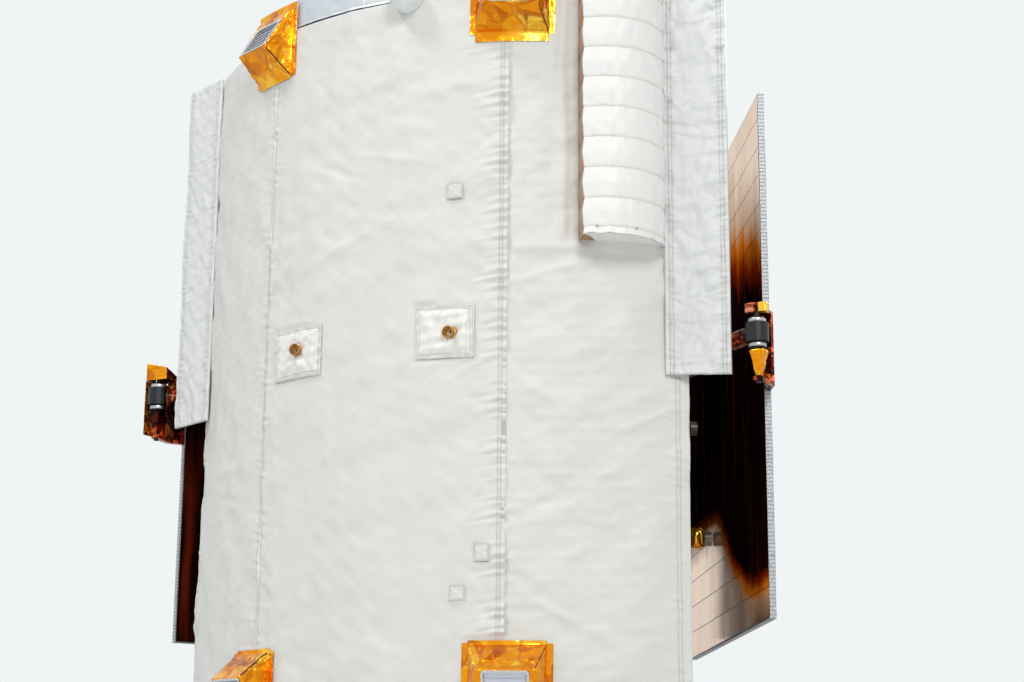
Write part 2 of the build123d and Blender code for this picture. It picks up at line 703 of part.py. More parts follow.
with BuildPart() as electronics_boxes:
    for side_name, side in SIDES:
        for bottom, height in UNITS:
            middle = (side * BUS_HALF_WIDTH, UNIT_Y, bottom + height / 2)
            finned_unit(Plane(origin=middle, x_dir=(0, 1, 0), z_dir=(side, 0, 0)),
                        UNIT_WIDTH, height, UNIT_DEPTH, UNIT_FINS)
save(electronics_boxes, "electronics_boxes")

# Battery on the rear wall
BATTERY_X = 0.6 * BUS_REAR_HALF_WIDTH
BATTERY_BOTTOM = 700
BATTERY_WIDTH = 154
BATTERY_HEIGHT = 420
BATTERY_DEPTH = 112
BATTERY_FINS = 5
with BuildPart() as battery_box:
    middle = (BATTERY_X, BUS_BACK, BATTERY_BOTTOM + BATTERY_HEIGHT / 2)
    finned_unit(Plane(origin=middle, x_dir=(1, 0, 0), z_dir=(0, 1, 0)),
                BATTERY_WIDTH, BATTERY_HEIGHT, BATTERY_DEPTH, BATTERY_FINS)
save(battery_box, "battery_box")

# Rear phased-array antenna: a plate with upright waveguide sticks
REAR_X = -0.6 * BUS_REAR_HALF_WIDTH
REAR_BOTTOM = 1150
REAR_WIDTH = 190
REAR_HEIGHT = 740
REAR_PLATE = 38
STICK = 15
STICK_DEPTH = 12
STICKS = 8
STICK_MARGIN = 24
with BuildPart() as rear_antenna:
    middle = (REAR_X, BUS_BACK, REAR_BOTTOM + REAR_HEIGHT / 2)
    plate_plane = Plane(origin=middle, x_dir=(1, 0, 0), z_dir=(0, 1, 0))
    with BuildSketch(plate_plane):
        Rectangle(REAR_WIDTH, REAR_HEIGHT)
    extrude(amount=REAR_PLATE)
    with BuildSketch(plate_plane.offset(REAR_PLATE)):
        with GridLocations(REAR_WIDTH / STICKS, 1, STICKS, 1):
            Rectangle(STICK, REAR_HEIGHT - 2 * STICK_MARGIN)
    extrude(amount=STICK_DEPTH)
save(rear_antenna, "rear_antenna")


# Imager's bracket: a plate under the lower deck with two lugs that carry the tilt pin
PIVOT = (0, -170, 120)
PIVOT_LUG_X = 85
LUG = 8
LUG_R = 22
BRACKET_LENGTH = 120
with BuildPart() as imager_bracket:
    with BuildSketch(Plane.XY.offset(RING_HEIGHT)):
        with Locations((PIVOT[0], PIVOT[1])):
            Rectangle(2 * (PIVOT_LUG_X + LUG), BRACKET_LENGTH)
    extrude(amount=-LUG)
    for side_name, side in SIDES:
        lug_height = RING_HEIGHT - LUG - PIVOT[2]
        lug_middle = (side * PIVOT_LUG_X, PIVOT[1], PIVOT[2])
        with BuildSketch(Plane(origin=lug_middle, x_dir=(0, 1, 0), z_dir=(side, 0, 0))):
            Circle(LUG_R)
            with Locations((0, side * lug_height / 2)):
                Rectangle(2 * LUG_R, lug_height)
            Circle(PIN_R + PIN_FIT, mode=Mode.SUBTRACT)
        extrude(amount=LUG)
save(imager_bracket, "imager_bracket")

# Imager: two cameras side by side in a rounded housing that tilts on its pin, lens tubes downwards
IMAGER_WIDTH = 120
IMAGER_DEPTH = 100
IMAGER_HEIGHT = 90
IMAGER_EDGE = 6
LENS_TUBE_R = 24
LENS_TUBE_WALL = 4
LENS_TUBE = 35
LENS_TUBE_X = 30
with BuildPart() as imager:
    with Locations(PIVOT):
        housing_box = Box(IMAGER_WIDTH, IMAGER_DEPTH, IMAGER_HEIGHT)
    chamfer(housing_box.edges(), IMAGER_EDGE)
    with Locations(PIVOT):
        Cylinder(PIN_R, 2 * (PIVOT_LUG_X + LUG), rotation=(0, 90, 0))
    for side_name, side in SIDES:
        with BuildSketch(Plane.XY.offset(PIVOT[2] - IMAGER_HEIGHT / 2)):
            with Locations((side * LENS_TUBE_X, PIVOT[1])):
                Circle(LENS_TUBE_R)
                Circle(LENS_TUBE_R - LENS_TUBE_WALL, mode=Mode.SUBTRACT)
        extrude(amount=-LENS_TUBE)
save(imager, "imager")

# Laser altimeter: a chamfered housing with four receiving telescopes and the laser's tube between them
ALTIMETER_CENTRE = (170, 150)
ALTIMETER_SIZE = 200
ALTIMETER_HEIGHT = 90
ALTIMETER_CHAMFER = 14
TELESCOPE_SPACING = 90
TELESCOPE_R = 38
TELESCOPE_WALL = 4
TELESCOPE = 70
LASER_R = 14
with BuildPart() as laser_altimeter:
    with BuildSketch(Plane.XY.offset(RING_HEIGHT)):
        with Locations(ALTIMETER_CENTRE):
            chamfer(Rectangle(ALTIMETER_SIZE, ALTIMETER_SIZE).vertices(), ALTIMETER_CHAMFER)
    extrude(amount=-ALTIMETER_HEIGHT)
    with BuildSketch(Plane.XY.offset(RING_HEIGHT - ALTIMETER_HEIGHT)):
        with Locations(ALTIMETER_CENTRE):
            with GridLocations(TELESCOPE_SPACING, TELESCOPE_SPACING, 2, 2):
                Circle(TELESCOPE_R)
                Circle(TELESCOPE_R - TELESCOPE_WALL, mode=Mode.SUBTRACT)
            Circle(LASER_R)
    extrude(amount=-TELESCOPE)
save(laser_altimeter, "laser_altimeter")

# Spectrometers: a round gamma-ray sensor with a chamfered end, and an ultraviolet one with a slanted snout
GAMMA_CENTRE = (-170, 60)
GAMMA_R = 62
GAMMA_BODY = 136
GAMMA_CHAMFER = 24
GAMMA_FLANGE_R = 78
GAMMA_FLANGE = 8
ULTRAVIOLET_CENTRE = (-130, 240)
ULTRAVIOLET_WIDTH = 150
ULTRAVIOLET_DEPTH = 110
ULTRAVIOLET_HEIGHT = 90
SNOUT = 60
SNOUT_TAPER = 12
with BuildPart() as spectrometers:
    with BuildSketch(Plane(origin=(*GAMMA_CENTRE, RING_HEIGHT), x_dir=(1, 0, 0), z_dir=(0, 1, 0))):
        Polygon(
            (0, 0),
            (GAMMA_FLANGE_R, 0),
            (GAMMA_FLANGE_R, GAMMA_FLANGE),
            (GAMMA_R, GAMMA_FLANGE),
            (GAMMA_R, GAMMA_BODY - GAMMA_CHAMFER),
            (GAMMA_R - GAMMA_CHAMFER, GAMMA_BODY),
            (0, GAMMA_BODY),
            align=None,
        )
    revolve(axis=Axis((*GAMMA_CENTRE, 0), (0, 0, 1)))
    with BuildSketch(Plane.XY.offset(RING_HEIGHT)):
        with Locations(ULTRAVIOLET_CENTRE):
            Rectangle(ULTRAVIOLET_WIDTH, ULTRAVIOLET_DEPTH)
    extrude(amount=-ULTRAVIOLET_HEIGHT)
    with BuildSketch(Plane.XY.offset(RING_HEIGHT - ULTRAVIOLET_HEIGHT)):
        with Locations(ULTRAVIOLET_CENTRE):
            Rectangle(ULTRAVIOLET_WIDTH / 2, ULTRAVIOLET_DEPTH / 2)
    extrude(amount=-SNOUT, taper=SNOUT_TAPER)
save(spectrometers, "spectrometers")


# Array arms: wall flange, round arm, drive housing and the clamp that carries the hinge column
ARM_Z = 1486
ARM_ROOT_Y = -330
ARM_R = 26
ARM_FLANGE_SIZE = 190
ARM_FLANGE = 12
ARM_FLANGE_CORNER = 30
ARM_OVERLAP = 4
DRIVE_R = 48
DRIVE_START = 90
DRIVE = 170
DRIVE_RIM = 14
COLUMN_R = 26
CLAMP_R = 36
CLAMP_HEIGHT = 60
arm_run = Vector(HINGE[0] - BUS_HALF_WIDTH, HINGE[1] - ARM_ROOT_Y)
for side_name, side in SIDES:
    arm_direction = Vector(side * arm_run.X, arm_run.Y, 0).normalized()
    root = Vector(side * BUS_HALF_WIDTH, ARM_ROOT_Y, ARM_Z)
    with BuildPart() as array_arm:
        with BuildSketch(Plane(origin=root, x_dir=(0, 1, 0), z_dir=(side, 0, 0))):
            fillet(Rectangle(ARM_FLANGE_SIZE, ARM_FLANGE_SIZE).vertices(), ARM_FLANGE_CORNER)
        extrude(amount=ARM_FLANGE)
        arm_start = root + arm_direction * (ARM_FLANGE - ARM_OVERLAP)
        with BuildSketch(Plane(origin=arm_start, z_dir=arm_direction)):
            Circle(ARM_R)
        extrude(amount=arm_run.length - COLUMN_R - ARM_FLANGE + ARM_OVERLAP)
        with BuildSketch(Plane(origin=root + arm_direction * DRIVE_START, z_dir=arm_direction)):
            Circle(DRIVE_R)
        extrude(amount=DRIVE)
        for start in (DRIVE_START, DRIVE_START + DRIVE - DRIVE_RIM):
            with BuildSketch(Plane(origin=root + arm_direction * start, z_dir=arm_direction)):
                Circle(DRIVE_R + DRIVE_RIM / 2)
            extrude(amount=DRIVE_RIM)
        with BuildSketch(Plane.XY.offset(ARM_Z - CLAMP_HEIGHT / 2)):
            with Locations((side * HINGE[0], HINGE[1])):
                Circle(CLAMP_R)
        extrude(amount=CLAMP_HEIGHT)
        with BuildSketch(Plane.XY.offset(ARM_Z - CLAMP_HEIGHT)):
            with Locations((side * HINGE[0], HINGE[1])):
                Circle(COLUMN_R)
        extrude(amount=2 * CLAMP_HEIGHT, mode=Mode.SUBTRACT)
        split(bisect_by=Plane(origin=(side * BUS_HALF_WIDTH, 0, 0), z_dir=(side, 0, 0)), keep=Keep.TOP)
    save(array_arm, f"array_arm_{side_name}")

# Hinge columns: black damper cylinder on the hinge pin
PIN_END = 8
DAMPER_BOTTOM = 1434
DAMPER_TOP = 1536
DAMPER_CHAMFER = 6
COLUMN_PROFILE = [
    # radius, height
    (0, HINGE_BOTTOM - PIN_END),
    (PIN_R, HINGE_BOTTOM - PIN_END),
    (PIN_R, DAMPER_BOTTOM),
    (COLUMN_R - DAMPER_CHAMFER, DAMPER_BOTTOM),
    (COLUMN_R, DAMPER_BOTTOM + DAMPER_CHAMFER),
    (COLUMN_R, DAMPER_TOP - DAMPER_CHAMFER),
    (COLUMN_R - DAMPER_CHAMFER, DAMPER_TOP),
    (PIN_R, DAMPER_TOP),
    (PIN_R, HINGE_TOP + PIN_END),
    (0, HINGE_TOP + PIN_END),
]
with BuildPart() as hinge_columns:
    for side_name, side in SIDES:
        hinge_plane = Plane(origin=(side * HINGE[0], HINGE[1], 0), x_dir=(1, 0, 0), z_dir=(0, -1, 0))
        with BuildSketch(hinge_plane):
            Polygon(*COLUMN_PROFILE, align=None)
        revolve(axis=Axis((side * HINGE[0], HINGE[1], 0), (0, 0, 1)))
save(hinge_columns, "hinge_columns")

# Foil shrouds on the columns: a tapered bag below each damper, and on the left one folded sheet
# that closes the bus side of the hinge, with a passage for the arm
YOKE_ARM = 12
SHROUD_SHEET = 2
SHROUD_INNER = 48
SHROUD_FRONT = -12
SHROUD_BACK = 38
SHROUD_FOLD = 35
SHROUD_BOTTOM = 1318
SHROUD_PIN_CLEARANCE = 4
ARM_PASSAGE = 4
BAG_CLEARANCE = 5
BAG_TOP = DAMPER_BOTTOM - BAG_CLEARANCE
BAG_BOTTOM = HINGE_BOTTOM + YOKE_ARM + BAG_CLEARANCE
BAG_SHIFT = 4
BAG_TOP_SIZE = (48, 44)
BAG_BOTTOM_SIZE = (30, 30)
with BuildPart() as hinge_shrouds:
    with BuildSketch(Plane.XY.offset(SHROUD_BOTTOM)):
        with Locations((-HINGE[0] + SHROUD_INNER, HINGE[1] + SHROUD_FRONT)):
            Rectangle(SHROUD_SHEET, SHROUD_BACK - SHROUD_FRONT, align=(Align.MAX, Align.MIN))
        with Locations((-HINGE[0] + SHROUD_INNER, HINGE[1] + SHROUD_BACK)):
            Rectangle(SHROUD_FOLD, SHROUD_SHEET, align=Align.MAX)
    extrude(amount=DAMPER_TOP - SHROUD_BOTTOM)
    passage_start = Vector(-HINGE[0], HINGE[1], ARM_Z)
    passage_end = Vector(-BUS_HALF_WIDTH, ARM_ROOT_Y, ARM_Z)
    with BuildSketch(Plane(origin=passage_start, z_dir=passage_end - passage_start)):
        Circle(ARM_R + ARM_PASSAGE)
    extrude(amount=2 * (SHROUD_INNER + SHROUD_BACK), mode=Mode.SUBTRACT)
    for side_name, side in SIDES:
        with BuildSketch(Plane.XY.offset(BAG_BOTTOM)) as bag_end:
            with Locations((side * (HINGE[0] + BAG_SHIFT), HINGE[1])):
                Rectangle(*BAG_BOTTOM_SIZE)
        with BuildSketch(Plane.XY.offset(BAG_TOP)) as bag_mouth:
            with Locations((side * (HINGE[0] + BAG_SHIFT), HINGE[1])):
                Rectangle(*BAG_TOP_SIZE)
        loft(sections=(bag_end.sketch, bag_mouth.sketch))
        with BuildSketch(Plane.XY.offset(BAG_BOTTOM)):
            with Locations((side * HINGE[0], HINGE[1])):
                Circle(PIN_R + SHROUD_PIN_CLEARANCE)
        extrude(amount=BAG_TOP - BAG_BOTTOM, mode=Mode.SUBTRACT)
save(hinge_shrouds, "hinge_shrouds")

# Foil wraps that ride with the yokes: a back sheet on each side, and on the left a cap with a
# sloping roof and the outer sheet below it
WRAP_OUTER = 44
WRAP_INNER = -48
WRAP_FRONT = -22
WRAP_BACK = 44
WRAP_BACK_INNER = -3
WRAP_BACK_OUTER = 32
WRAP_BOTTOM = HINGE_BOTTOM + YOKE_ARM + GAP
WRAP_CAP = DAMPER_TOP + 7
WRAP_ROOF_OUTER = 1613
WRAP_ROOF_INNER = 1590
with BuildPart() as array_wrap_left:
    with BuildSketch(Plane(origin=(-HINGE[0], HINGE[1] + WRAP_FRONT, 0), x_dir=(-1, 0, 0), z_dir=(0, 1, 0))):
        Polygon(
            (WRAP_INNER, WRAP_BOTTOM),
            (WRAP_OUTER, WRAP_BOTTOM),
            (WRAP_OUTER, WRAP_ROOF_OUTER),
            (WRAP_INNER, WRAP_ROOF_INNER),
            align=None,
        )
    extrude(amount=WRAP_BACK - WRAP_FRONT)
    with BuildSketch(Plane(origin=(-HINGE[0], HINGE[1] + WRAP_BACK, 0), x_dir=(-1, 0, 0), z_dir=(0, 1, 0))):
        Polygon(
            (WRAP_INNER + SHROUD_SHEET, WRAP_BOTTOM),
            (WRAP_OUTER - SHROUD_SHEET, WRAP_BOTTOM),
            (WRAP_OUTER - SHROUD_SHEET, WRAP_ROOF_OUTER - 2 * SHROUD_SHEET),
            (WRAP_INNER + SHROUD_SHEET, WRAP_ROOF_INNER - 2 * SHROUD_SHEET),
            align=None,
        )
    extrude(amount=WRAP_FRONT + SHROUD_SHEET - WRAP_BACK, mode=Mode.SUBTRACT)
    with BuildSketch(Plane.XY.offset(WRAP_BOTTOM)):
        with Locations((-HINGE[0] - WRAP_OUTER + SHROUD_SHEET, HINGE[1] + WRAP_FRONT)):
            Rectangle(WRAP_OUTER - WRAP_INNER, WRAP_BACK - WRAP_FRONT, align=Align.MIN)
    extrude(amount=WRAP_CAP - WRAP_BOTTOM, mode=Mode.SUBTRACT)
    with BuildSketch(Plane.XY.offset(WRAP_BOTTOM)):
        with Locations((-HINGE[0] - WRAP_BACK_INNER, HINGE[1] + WRAP_BACK)):
            Rectangle(WRAP_OUTER - WRAP_BACK_INNER, SHROUD_SHEET, align=Align.MAX)
    extrude(amount=WRAP_CAP - WRAP_BOTTOM)
save(array_wrap_left, "array_wrap_left")
with BuildPart() as array_wrap_right:
    with BuildSketch(Plane.XY.offset(WRAP_BOTTOM)):
        with Locations((HINGE[0] + WRAP_BACK_INNER, HINGE[1] + WRAP_BACK)):
            Rectangle(
                WRAP_BACK_OUTER - WRAP_BACK_INNER, SHROUD_SHEET, align=(Align.MIN, Align.MAX)
            )
    extrude(amount=HINGE_TOP - YOKE_ARM - GAP - WRAP_BOTTOM)
save(array_wrap_right, "array_wrap_right")


# Arrays: flat honeycomb panel and the yoke that hangs it on the hinge pin
panel_middle_z = PANEL_BOTTOM + PANEL_HEIGHT / 2
YOKE_REACH = 60
YOKE_EYE_R = 16
for side_name, side in SIDES:
    normal = Vector(side * panel_normal[0], panel_normal[1], 0)
    run = Vector(side * panel_run[0], panel_run[1], 0)
    edge = Vector(side * PANEL_EDGE[0], PANEL_EDGE[1], panel_middle_z)
    with BuildPart() as array_panel:
        with BuildSketch(Plane(origin=edge + run * (PANEL_WIDTH / 2), x_dir=run, z_dir=normal)):
            Rectangle(PANEL_WIDTH, PANEL_HEIGHT)
        extrude(amount=PANEL)
    save(array_panel, f"array_panel_{side_name}")
    pin = Vector(side * HINGE[0], HINGE[1], 0)
    yoke_edge = Vector(side * PANEL_EDGE[0], PANEL_EDGE[1], 0)
    web_inner = yoke_edge - run * YOKE_REACH
    web_outer = web_inner + normal * PANEL
    with BuildPart() as array_yoke:
        with BuildSketch(Plane.XY.offset(HINGE_BOTTOM)):
            Polygon(
                (yoke_edge.X, yoke_edge.Y),
                (web_inner.X, web_inner.Y),
                (web_outer.X, web_outer.Y),
                (yoke_edge.X + normal.X * PANEL, yoke_edge.Y + normal.Y * PANEL),
                align=None,
            )
        extrude(amount=HINGE_TOP - HINGE_BOTTOM)
        for height in (HINGE_BOTTOM, HINGE_TOP - YOKE_ARM):
            with BuildSketch(Plane.XY.offset(height)):
                Polygon(
                    (pin.X - side * YOKE_EYE_R, pin.Y),
                    (pin.X + side * YOKE_EYE_R, pin.Y),
                    (web_outer.X, web_outer.Y),
                    (web_inner.X, web_inner.Y),
                    align=None,
                )
                with Locations((pin.X, pin.Y)):
                    Circle(YOKE_EYE_R)
                    Circle(PIN_R + PIN_FIT, mode=Mode.SUBTRACT)
            extrude(amount=YOKE_ARM)
    save(array_yoke, f"array_yoke_{side_name}")

# Array restraints: tie-down posts from the slanted walls to just short of the stowed panels
RESTRAINT_SEATS = (
    # share of the slanted wall's width, height
    (0.4, 1012),
    (0.87, 1473),
    (0.4, DECK_TOP - 64),
)
RESTRAINT_CLEARANCE = 6
RESTRAINT_SEAT = 1
RESTRAINT_PROFILE_FOOT_R = 32
RESTRAINT_FOOT = 8
RESTRAINT_R = 14
RESTRAINT_CUP_R = 26
RESTRAINT_CUP = 26
panel_offset = PANEL_EDGE[0] * panel_normal[0] + PANEL_EDGE[1] * panel_normal[1]
wall_offset = BUS_HALF_WIDTH * panel_normal[0] + BUS_WAIST * panel_normal[1]
slanted_wall = (BUS_BACK - BUS_WAIST) / cos(radians(PANEL_ANGLE))
post_length = panel_offset - wall_offset - RESTRAINT_CLEARANCE - RESTRAINT_SEAT
RESTRAINT_PROFILE = [
    # radius, distance from the foot
    (0, 0),
    (RESTRAINT_PROFILE_FOOT_R, 0),
    (RESTRAINT_PROFILE_FOOT_R, RESTRAINT_FOOT),
    (RESTRAINT_R, RESTRAINT_FOOT + RESTRAINT_R / 2),
    (RESTRAINT_R, post_length - RESTRAINT_CUP - RESTRAINT_R),
    (RESTRAINT_CUP_R, post_length - RESTRAINT_CUP),
    (RESTRAINT_CUP_R, post_length),
    (0, post_length),
]
with BuildPart() as array_restraints:
    for side_name, side in SIDES:
        normal = Vector(side * panel_normal[0], panel_normal[1], 0)
        for share, height in RESTRAINT_SEATS:
            place = share * slanted_wall
            foot = Vector(
                side * (BUS_HALF_WIDTH + panel_run[0] * place),
                BUS_WAIST + panel_run[1] * place,
                height,
            ) + normal * RESTRAINT_SEAT
            across = Vector(0, 0, 1)
            with BuildSketch(Plane(origin=foot, x_dir=across, z_dir=across.cross(normal))):
                Polygon(*RESTRAINT_PROFILE, align=None)
            revolve(axis=Axis(foot, normal))
save(array_restraints, "array_restraints")


# Boom mounts on the rear wall: the root's two lugs and two open cradles, each on a foot plate
BOOM_R = 22
BOOM_ROOT = (0, 580, 400)
BOOM_ELBOW = (0, 620, 2100)
BOOM_OUTER_Y = 660
BOOM_OUTER_END = 560
MOUNT_LUG_X = 28
MOUNT_LUG = 10
MOUNT_LUG_R = 24
MOUNT_PLATE = 10
MOUNT_PLATE_WIDTH = 120
MOUNT_PLATE_HEIGHT = 80
CRADLE = 8
CRADLE_REACH = 80
CRADLE_HEIGHTS = (900, 1650)
with BuildPart() as boom_mounts:
    for side_name, side in SIDES:
        lug_plane = Plane(origin=(side * MOUNT_LUG_X, *BOOM_ROOT[1:]), x_dir=(0, 1, 0), z_dir=(side, 0, 0))
        with BuildSketch(lug_plane):
            Circle(MOUNT_LUG_R)
            with Locations((-(BOOM_ROOT[1] - BUS_BACK) / 2, 0)):
                Rectangle(BOOM_ROOT[1] - BUS_BACK, 2 * MOUNT_LUG_R)
            Circle(PIN_R + PIN_FIT, mode=Mode.SUBTRACT)
        extrude(amount=MOUNT_LUG)
        for height in CRADLE_HEIGHTS:
            cradle_middle = (side * MOUNT_LUG_X, BUS_BACK + CRADLE_REACH / 2, height)
            with BuildSketch(Plane(origin=cradle_middle, x_dir=(0, 1, 0), z_dir=(side, 0, 0))):
                Rectangle(CRADLE_REACH, MOUNT_PLATE_HEIGHT)
            extrude(amount=CRADLE)
    for height in (BOOM_ROOT[2], *CRADLE_HEIGHTS):
        with BuildSketch(Plane(origin=(0, BUS_BACK, height), x_dir=(1, 0, 0), z_dir=(0, 1, 0))):
            Rectangle(MOUNT_PLATE_WIDTH, MOUNT_PLATE_HEIGHT)
        extrude(amount=MOUNT_PLATE)
save(boom_mounts, "boom_mounts")

# Inner boom: carbon tube with the root pin at its foot and the elbow's lug and pin at its head
ROOT_PIN_END = 38
ELBOW_LUG = 14
ELBOW_R = 20
TUBE_SHORT = 30
EAR_X = 26
EAR = 8
with BuildPart() as boom_inner:
    tube(BOOM_ROOT, (0, BOOM_ROOT[1], BOOM_ELBOW[2] - TUBE_SHORT), BOOM_R)
    with Locations(BOOM_ROOT):
        Cylinder(PIN_R, 2 * ROOT_PIN_END, rotation=(0, 90, 0))
    with BuildSketch(Plane(origin=BOOM_ELBOW, x_dir=(0, 1, 0), z_dir=(1, 0, 0))):
        Circle(ELBOW_R)
        Polygon(
            (0, ELBOW_R),
            (BOOM_ROOT[1] - BOOM_ELBOW[1] - ELBOW_R / 2, -ELBOW_R),
            (BOOM_ROOT[1] - BOOM_ELBOW[1] - ELBOW_R / 2, -2 * TUBE_SHORT),
            (-ELBOW_R, -2 * TUBE_SHORT),
            (ELBOW_LUG, -ELBOW_LUG),
            align=None,
        )
    extrude(amount=ELBOW_LUG, both=True)
    with Locations(BOOM_ELBOW):
        Cylinder(PIN_R, 2 * (EAR_X + EAR), rotation=(0, 90, 0))
save(boom_inner, "boom_inner")

# Outer boom: carbon tube under a bridge with two ears that turn on the elbow's pin
BRIDGE = 20
bridge_bottom = BOOM_ELBOW[2] - 2 * TUBE_SHORT
with BuildPart() as boom_outer:
    tube((0, BOOM_OUTER_Y, BOOM_OUTER_END), (0, BOOM_OUTER_Y, bridge_bottom), BOOM_R)
    with BuildSketch(Plane.XY.offset(bridge_bottom)):
        with Locations((0, BOOM_OUTER_Y)):
            Rectangle(2 * (EAR_X + EAR), 2 * BOOM_R)
    extrude(amount=BRIDGE)
    for side_name, side in SIDES:
        ear_plane = Plane(origin=(side * EAR_X, *BOOM_ELBOW[1:]), x_dir=(0, 1, 0), z_dir=(side, 0, 0))
        ear_back = BOOM_OUTER_Y - BOOM_ELBOW[1] + BOOM_R
        with BuildSketch(ear_plane):
            Circle(ELBOW_R)
            Polygon(
                (-5, side * (1 - ELBOW_R)),
                (ear_back - 2 * BOOM_R, side * -2 * TUBE_SHORT),
                (ear_back, side * -2 * TUBE_SHORT),
                (ear_back, side * -TUBE_SHORT),
                (ELBOW_LUG, side * ELBOW_LUG),
                align=None,
            )
            Circle(PIN_R + PIN_FIT, mode=Mode.SUBTRACT)
        extrude(amount=EAR)
save(boom_outer, "boom_outer")

# Magnetometer head: a blanketed block with chamfered edges at the outer boom's end
HEAD_WIDTH = 90
HEAD_DEPTH = 84
HEAD_LENGTH = 110
HEAD_CHAMFER = 10
with BuildPart() as magnetometer_head:
    with BuildSketch(Plane.XY.offset(BOOM_OUTER_END)):
        with Locations((0, BOOM_OUTER_Y)):
            chamfer(Rectangle(HEAD_WIDTH, HEAD_DEPTH).vertices(), HEAD_CHAMFER)
    extrude(amount=-HEAD_LENGTH)
save(magnetometer_head, "magnetometer_head")
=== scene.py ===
import functools
import math

import bpy
import numpy as np
from mathutils import Matrix


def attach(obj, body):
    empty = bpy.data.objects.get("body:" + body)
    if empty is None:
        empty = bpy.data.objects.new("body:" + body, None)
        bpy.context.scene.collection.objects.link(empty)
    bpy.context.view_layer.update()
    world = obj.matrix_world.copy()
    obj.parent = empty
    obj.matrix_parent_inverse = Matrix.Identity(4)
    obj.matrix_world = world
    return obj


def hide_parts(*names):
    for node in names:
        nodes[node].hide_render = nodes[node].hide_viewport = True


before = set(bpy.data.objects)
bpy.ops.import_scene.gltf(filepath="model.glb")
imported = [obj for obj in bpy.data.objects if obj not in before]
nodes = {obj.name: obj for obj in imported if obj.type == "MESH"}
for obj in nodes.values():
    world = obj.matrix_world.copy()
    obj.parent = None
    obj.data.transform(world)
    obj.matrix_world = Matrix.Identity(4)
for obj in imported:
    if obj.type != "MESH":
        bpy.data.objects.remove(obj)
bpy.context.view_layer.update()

# Camera: at floor level in front of the spacecraft and a little to its right, looking up at the
# sunshade through a long lens, as the photograph was taken.
CAMERA_PLACE = (3.0219, -6.258, 0.0156)
CAMERA_TURN = math.radians(-26.39475)
CAMERA_RISE = math.radians(13.96992)
CAMERA_ROLL = math.radians(0.45489)
forward = np.array((math.sin(CAMERA_TURN) * math.cos(CAMERA_RISE),
                    math.cos(CAMERA_TURN) * math.cos(CAMERA_RISE), math.sin(CAMERA_RISE)))
level = np.array((math.cos(CAMERA_TURN), -math.sin(CAMERA_TURN), 0))
upright = np.cross(level, forward)
across = math.cos(CAMERA_ROLL) * level + math.sin(CAMERA_ROLL) * upright
upright = np.cross(across, forward)
lens = bpy.data.cameras.new("camera")
lens.lens = 68.16
lens.sensor_width = 36
lens.clip_start = 0.05
lens.clip_end = 200
camera = bpy.data.objects.new("camera", lens)
bpy.context.scene.collection.objects.link(camera)
camera.matrix_world = Matrix([[*row, place] for row, place in
                              zip(np.stack((across, upright, -forward), 1).tolist(), CAMERA_PLACE)]
                             + [[0, 0, 0, 1]])
bpy.context.scene.camera = camera
bpy.context.scene.view_settings.view_transform = "Standard"


def paint(colour):
    """A colour as it looks on a screen, three numbers from 0 to 255, as the linear values that nodes
    take.  Sockets pass through."""
    if isinstance(colour, Socket):
        return colour
    screen = np.array(colour) / 255
    linear = np.where(screen <= 0.04045, screen / 12.92, ((screen + 0.055) / 1.055) ** 2.4)
    return (*linear.tolist(), 1.0)


def math_node(operation):
    """A method of sockets that adds a Math node."""
    return lambda self, other: self.math(operation, self, other)


class Socket:
    """One output of a node. Sums, products and comparisons of sockets and numbers add Math nodes."""

    def __init__(self, finish, output):
        self.finish, self.output = finish, output

    def math(self, operation, *values):
        return self.finish.node("ShaderNodeMath", {"operation": operation}, dict(enumerate(values)))

    least, most = math_node("MINIMUM"), math_node("MAXIMUM")
    __add__ = __radd__ = math_node("ADD")
    __mul__ = __rmul__ = math_node("MULTIPLY")
    __sub__, __truediv__ = math_node("SUBTRACT"), math_node("DIVIDE")
    __gt__, __lt__ = math_node("GREATER_THAN"), math_node("LESS_THAN")
    __mod__, __pow__ = math_node("FLOORED_MODULO"), math_node("POWER")

    def __rsub__(self, other):
        return self.math("SUBTRACT", other, self)

    def __abs__(self):
        return self.math("ABSOLUTE", self)


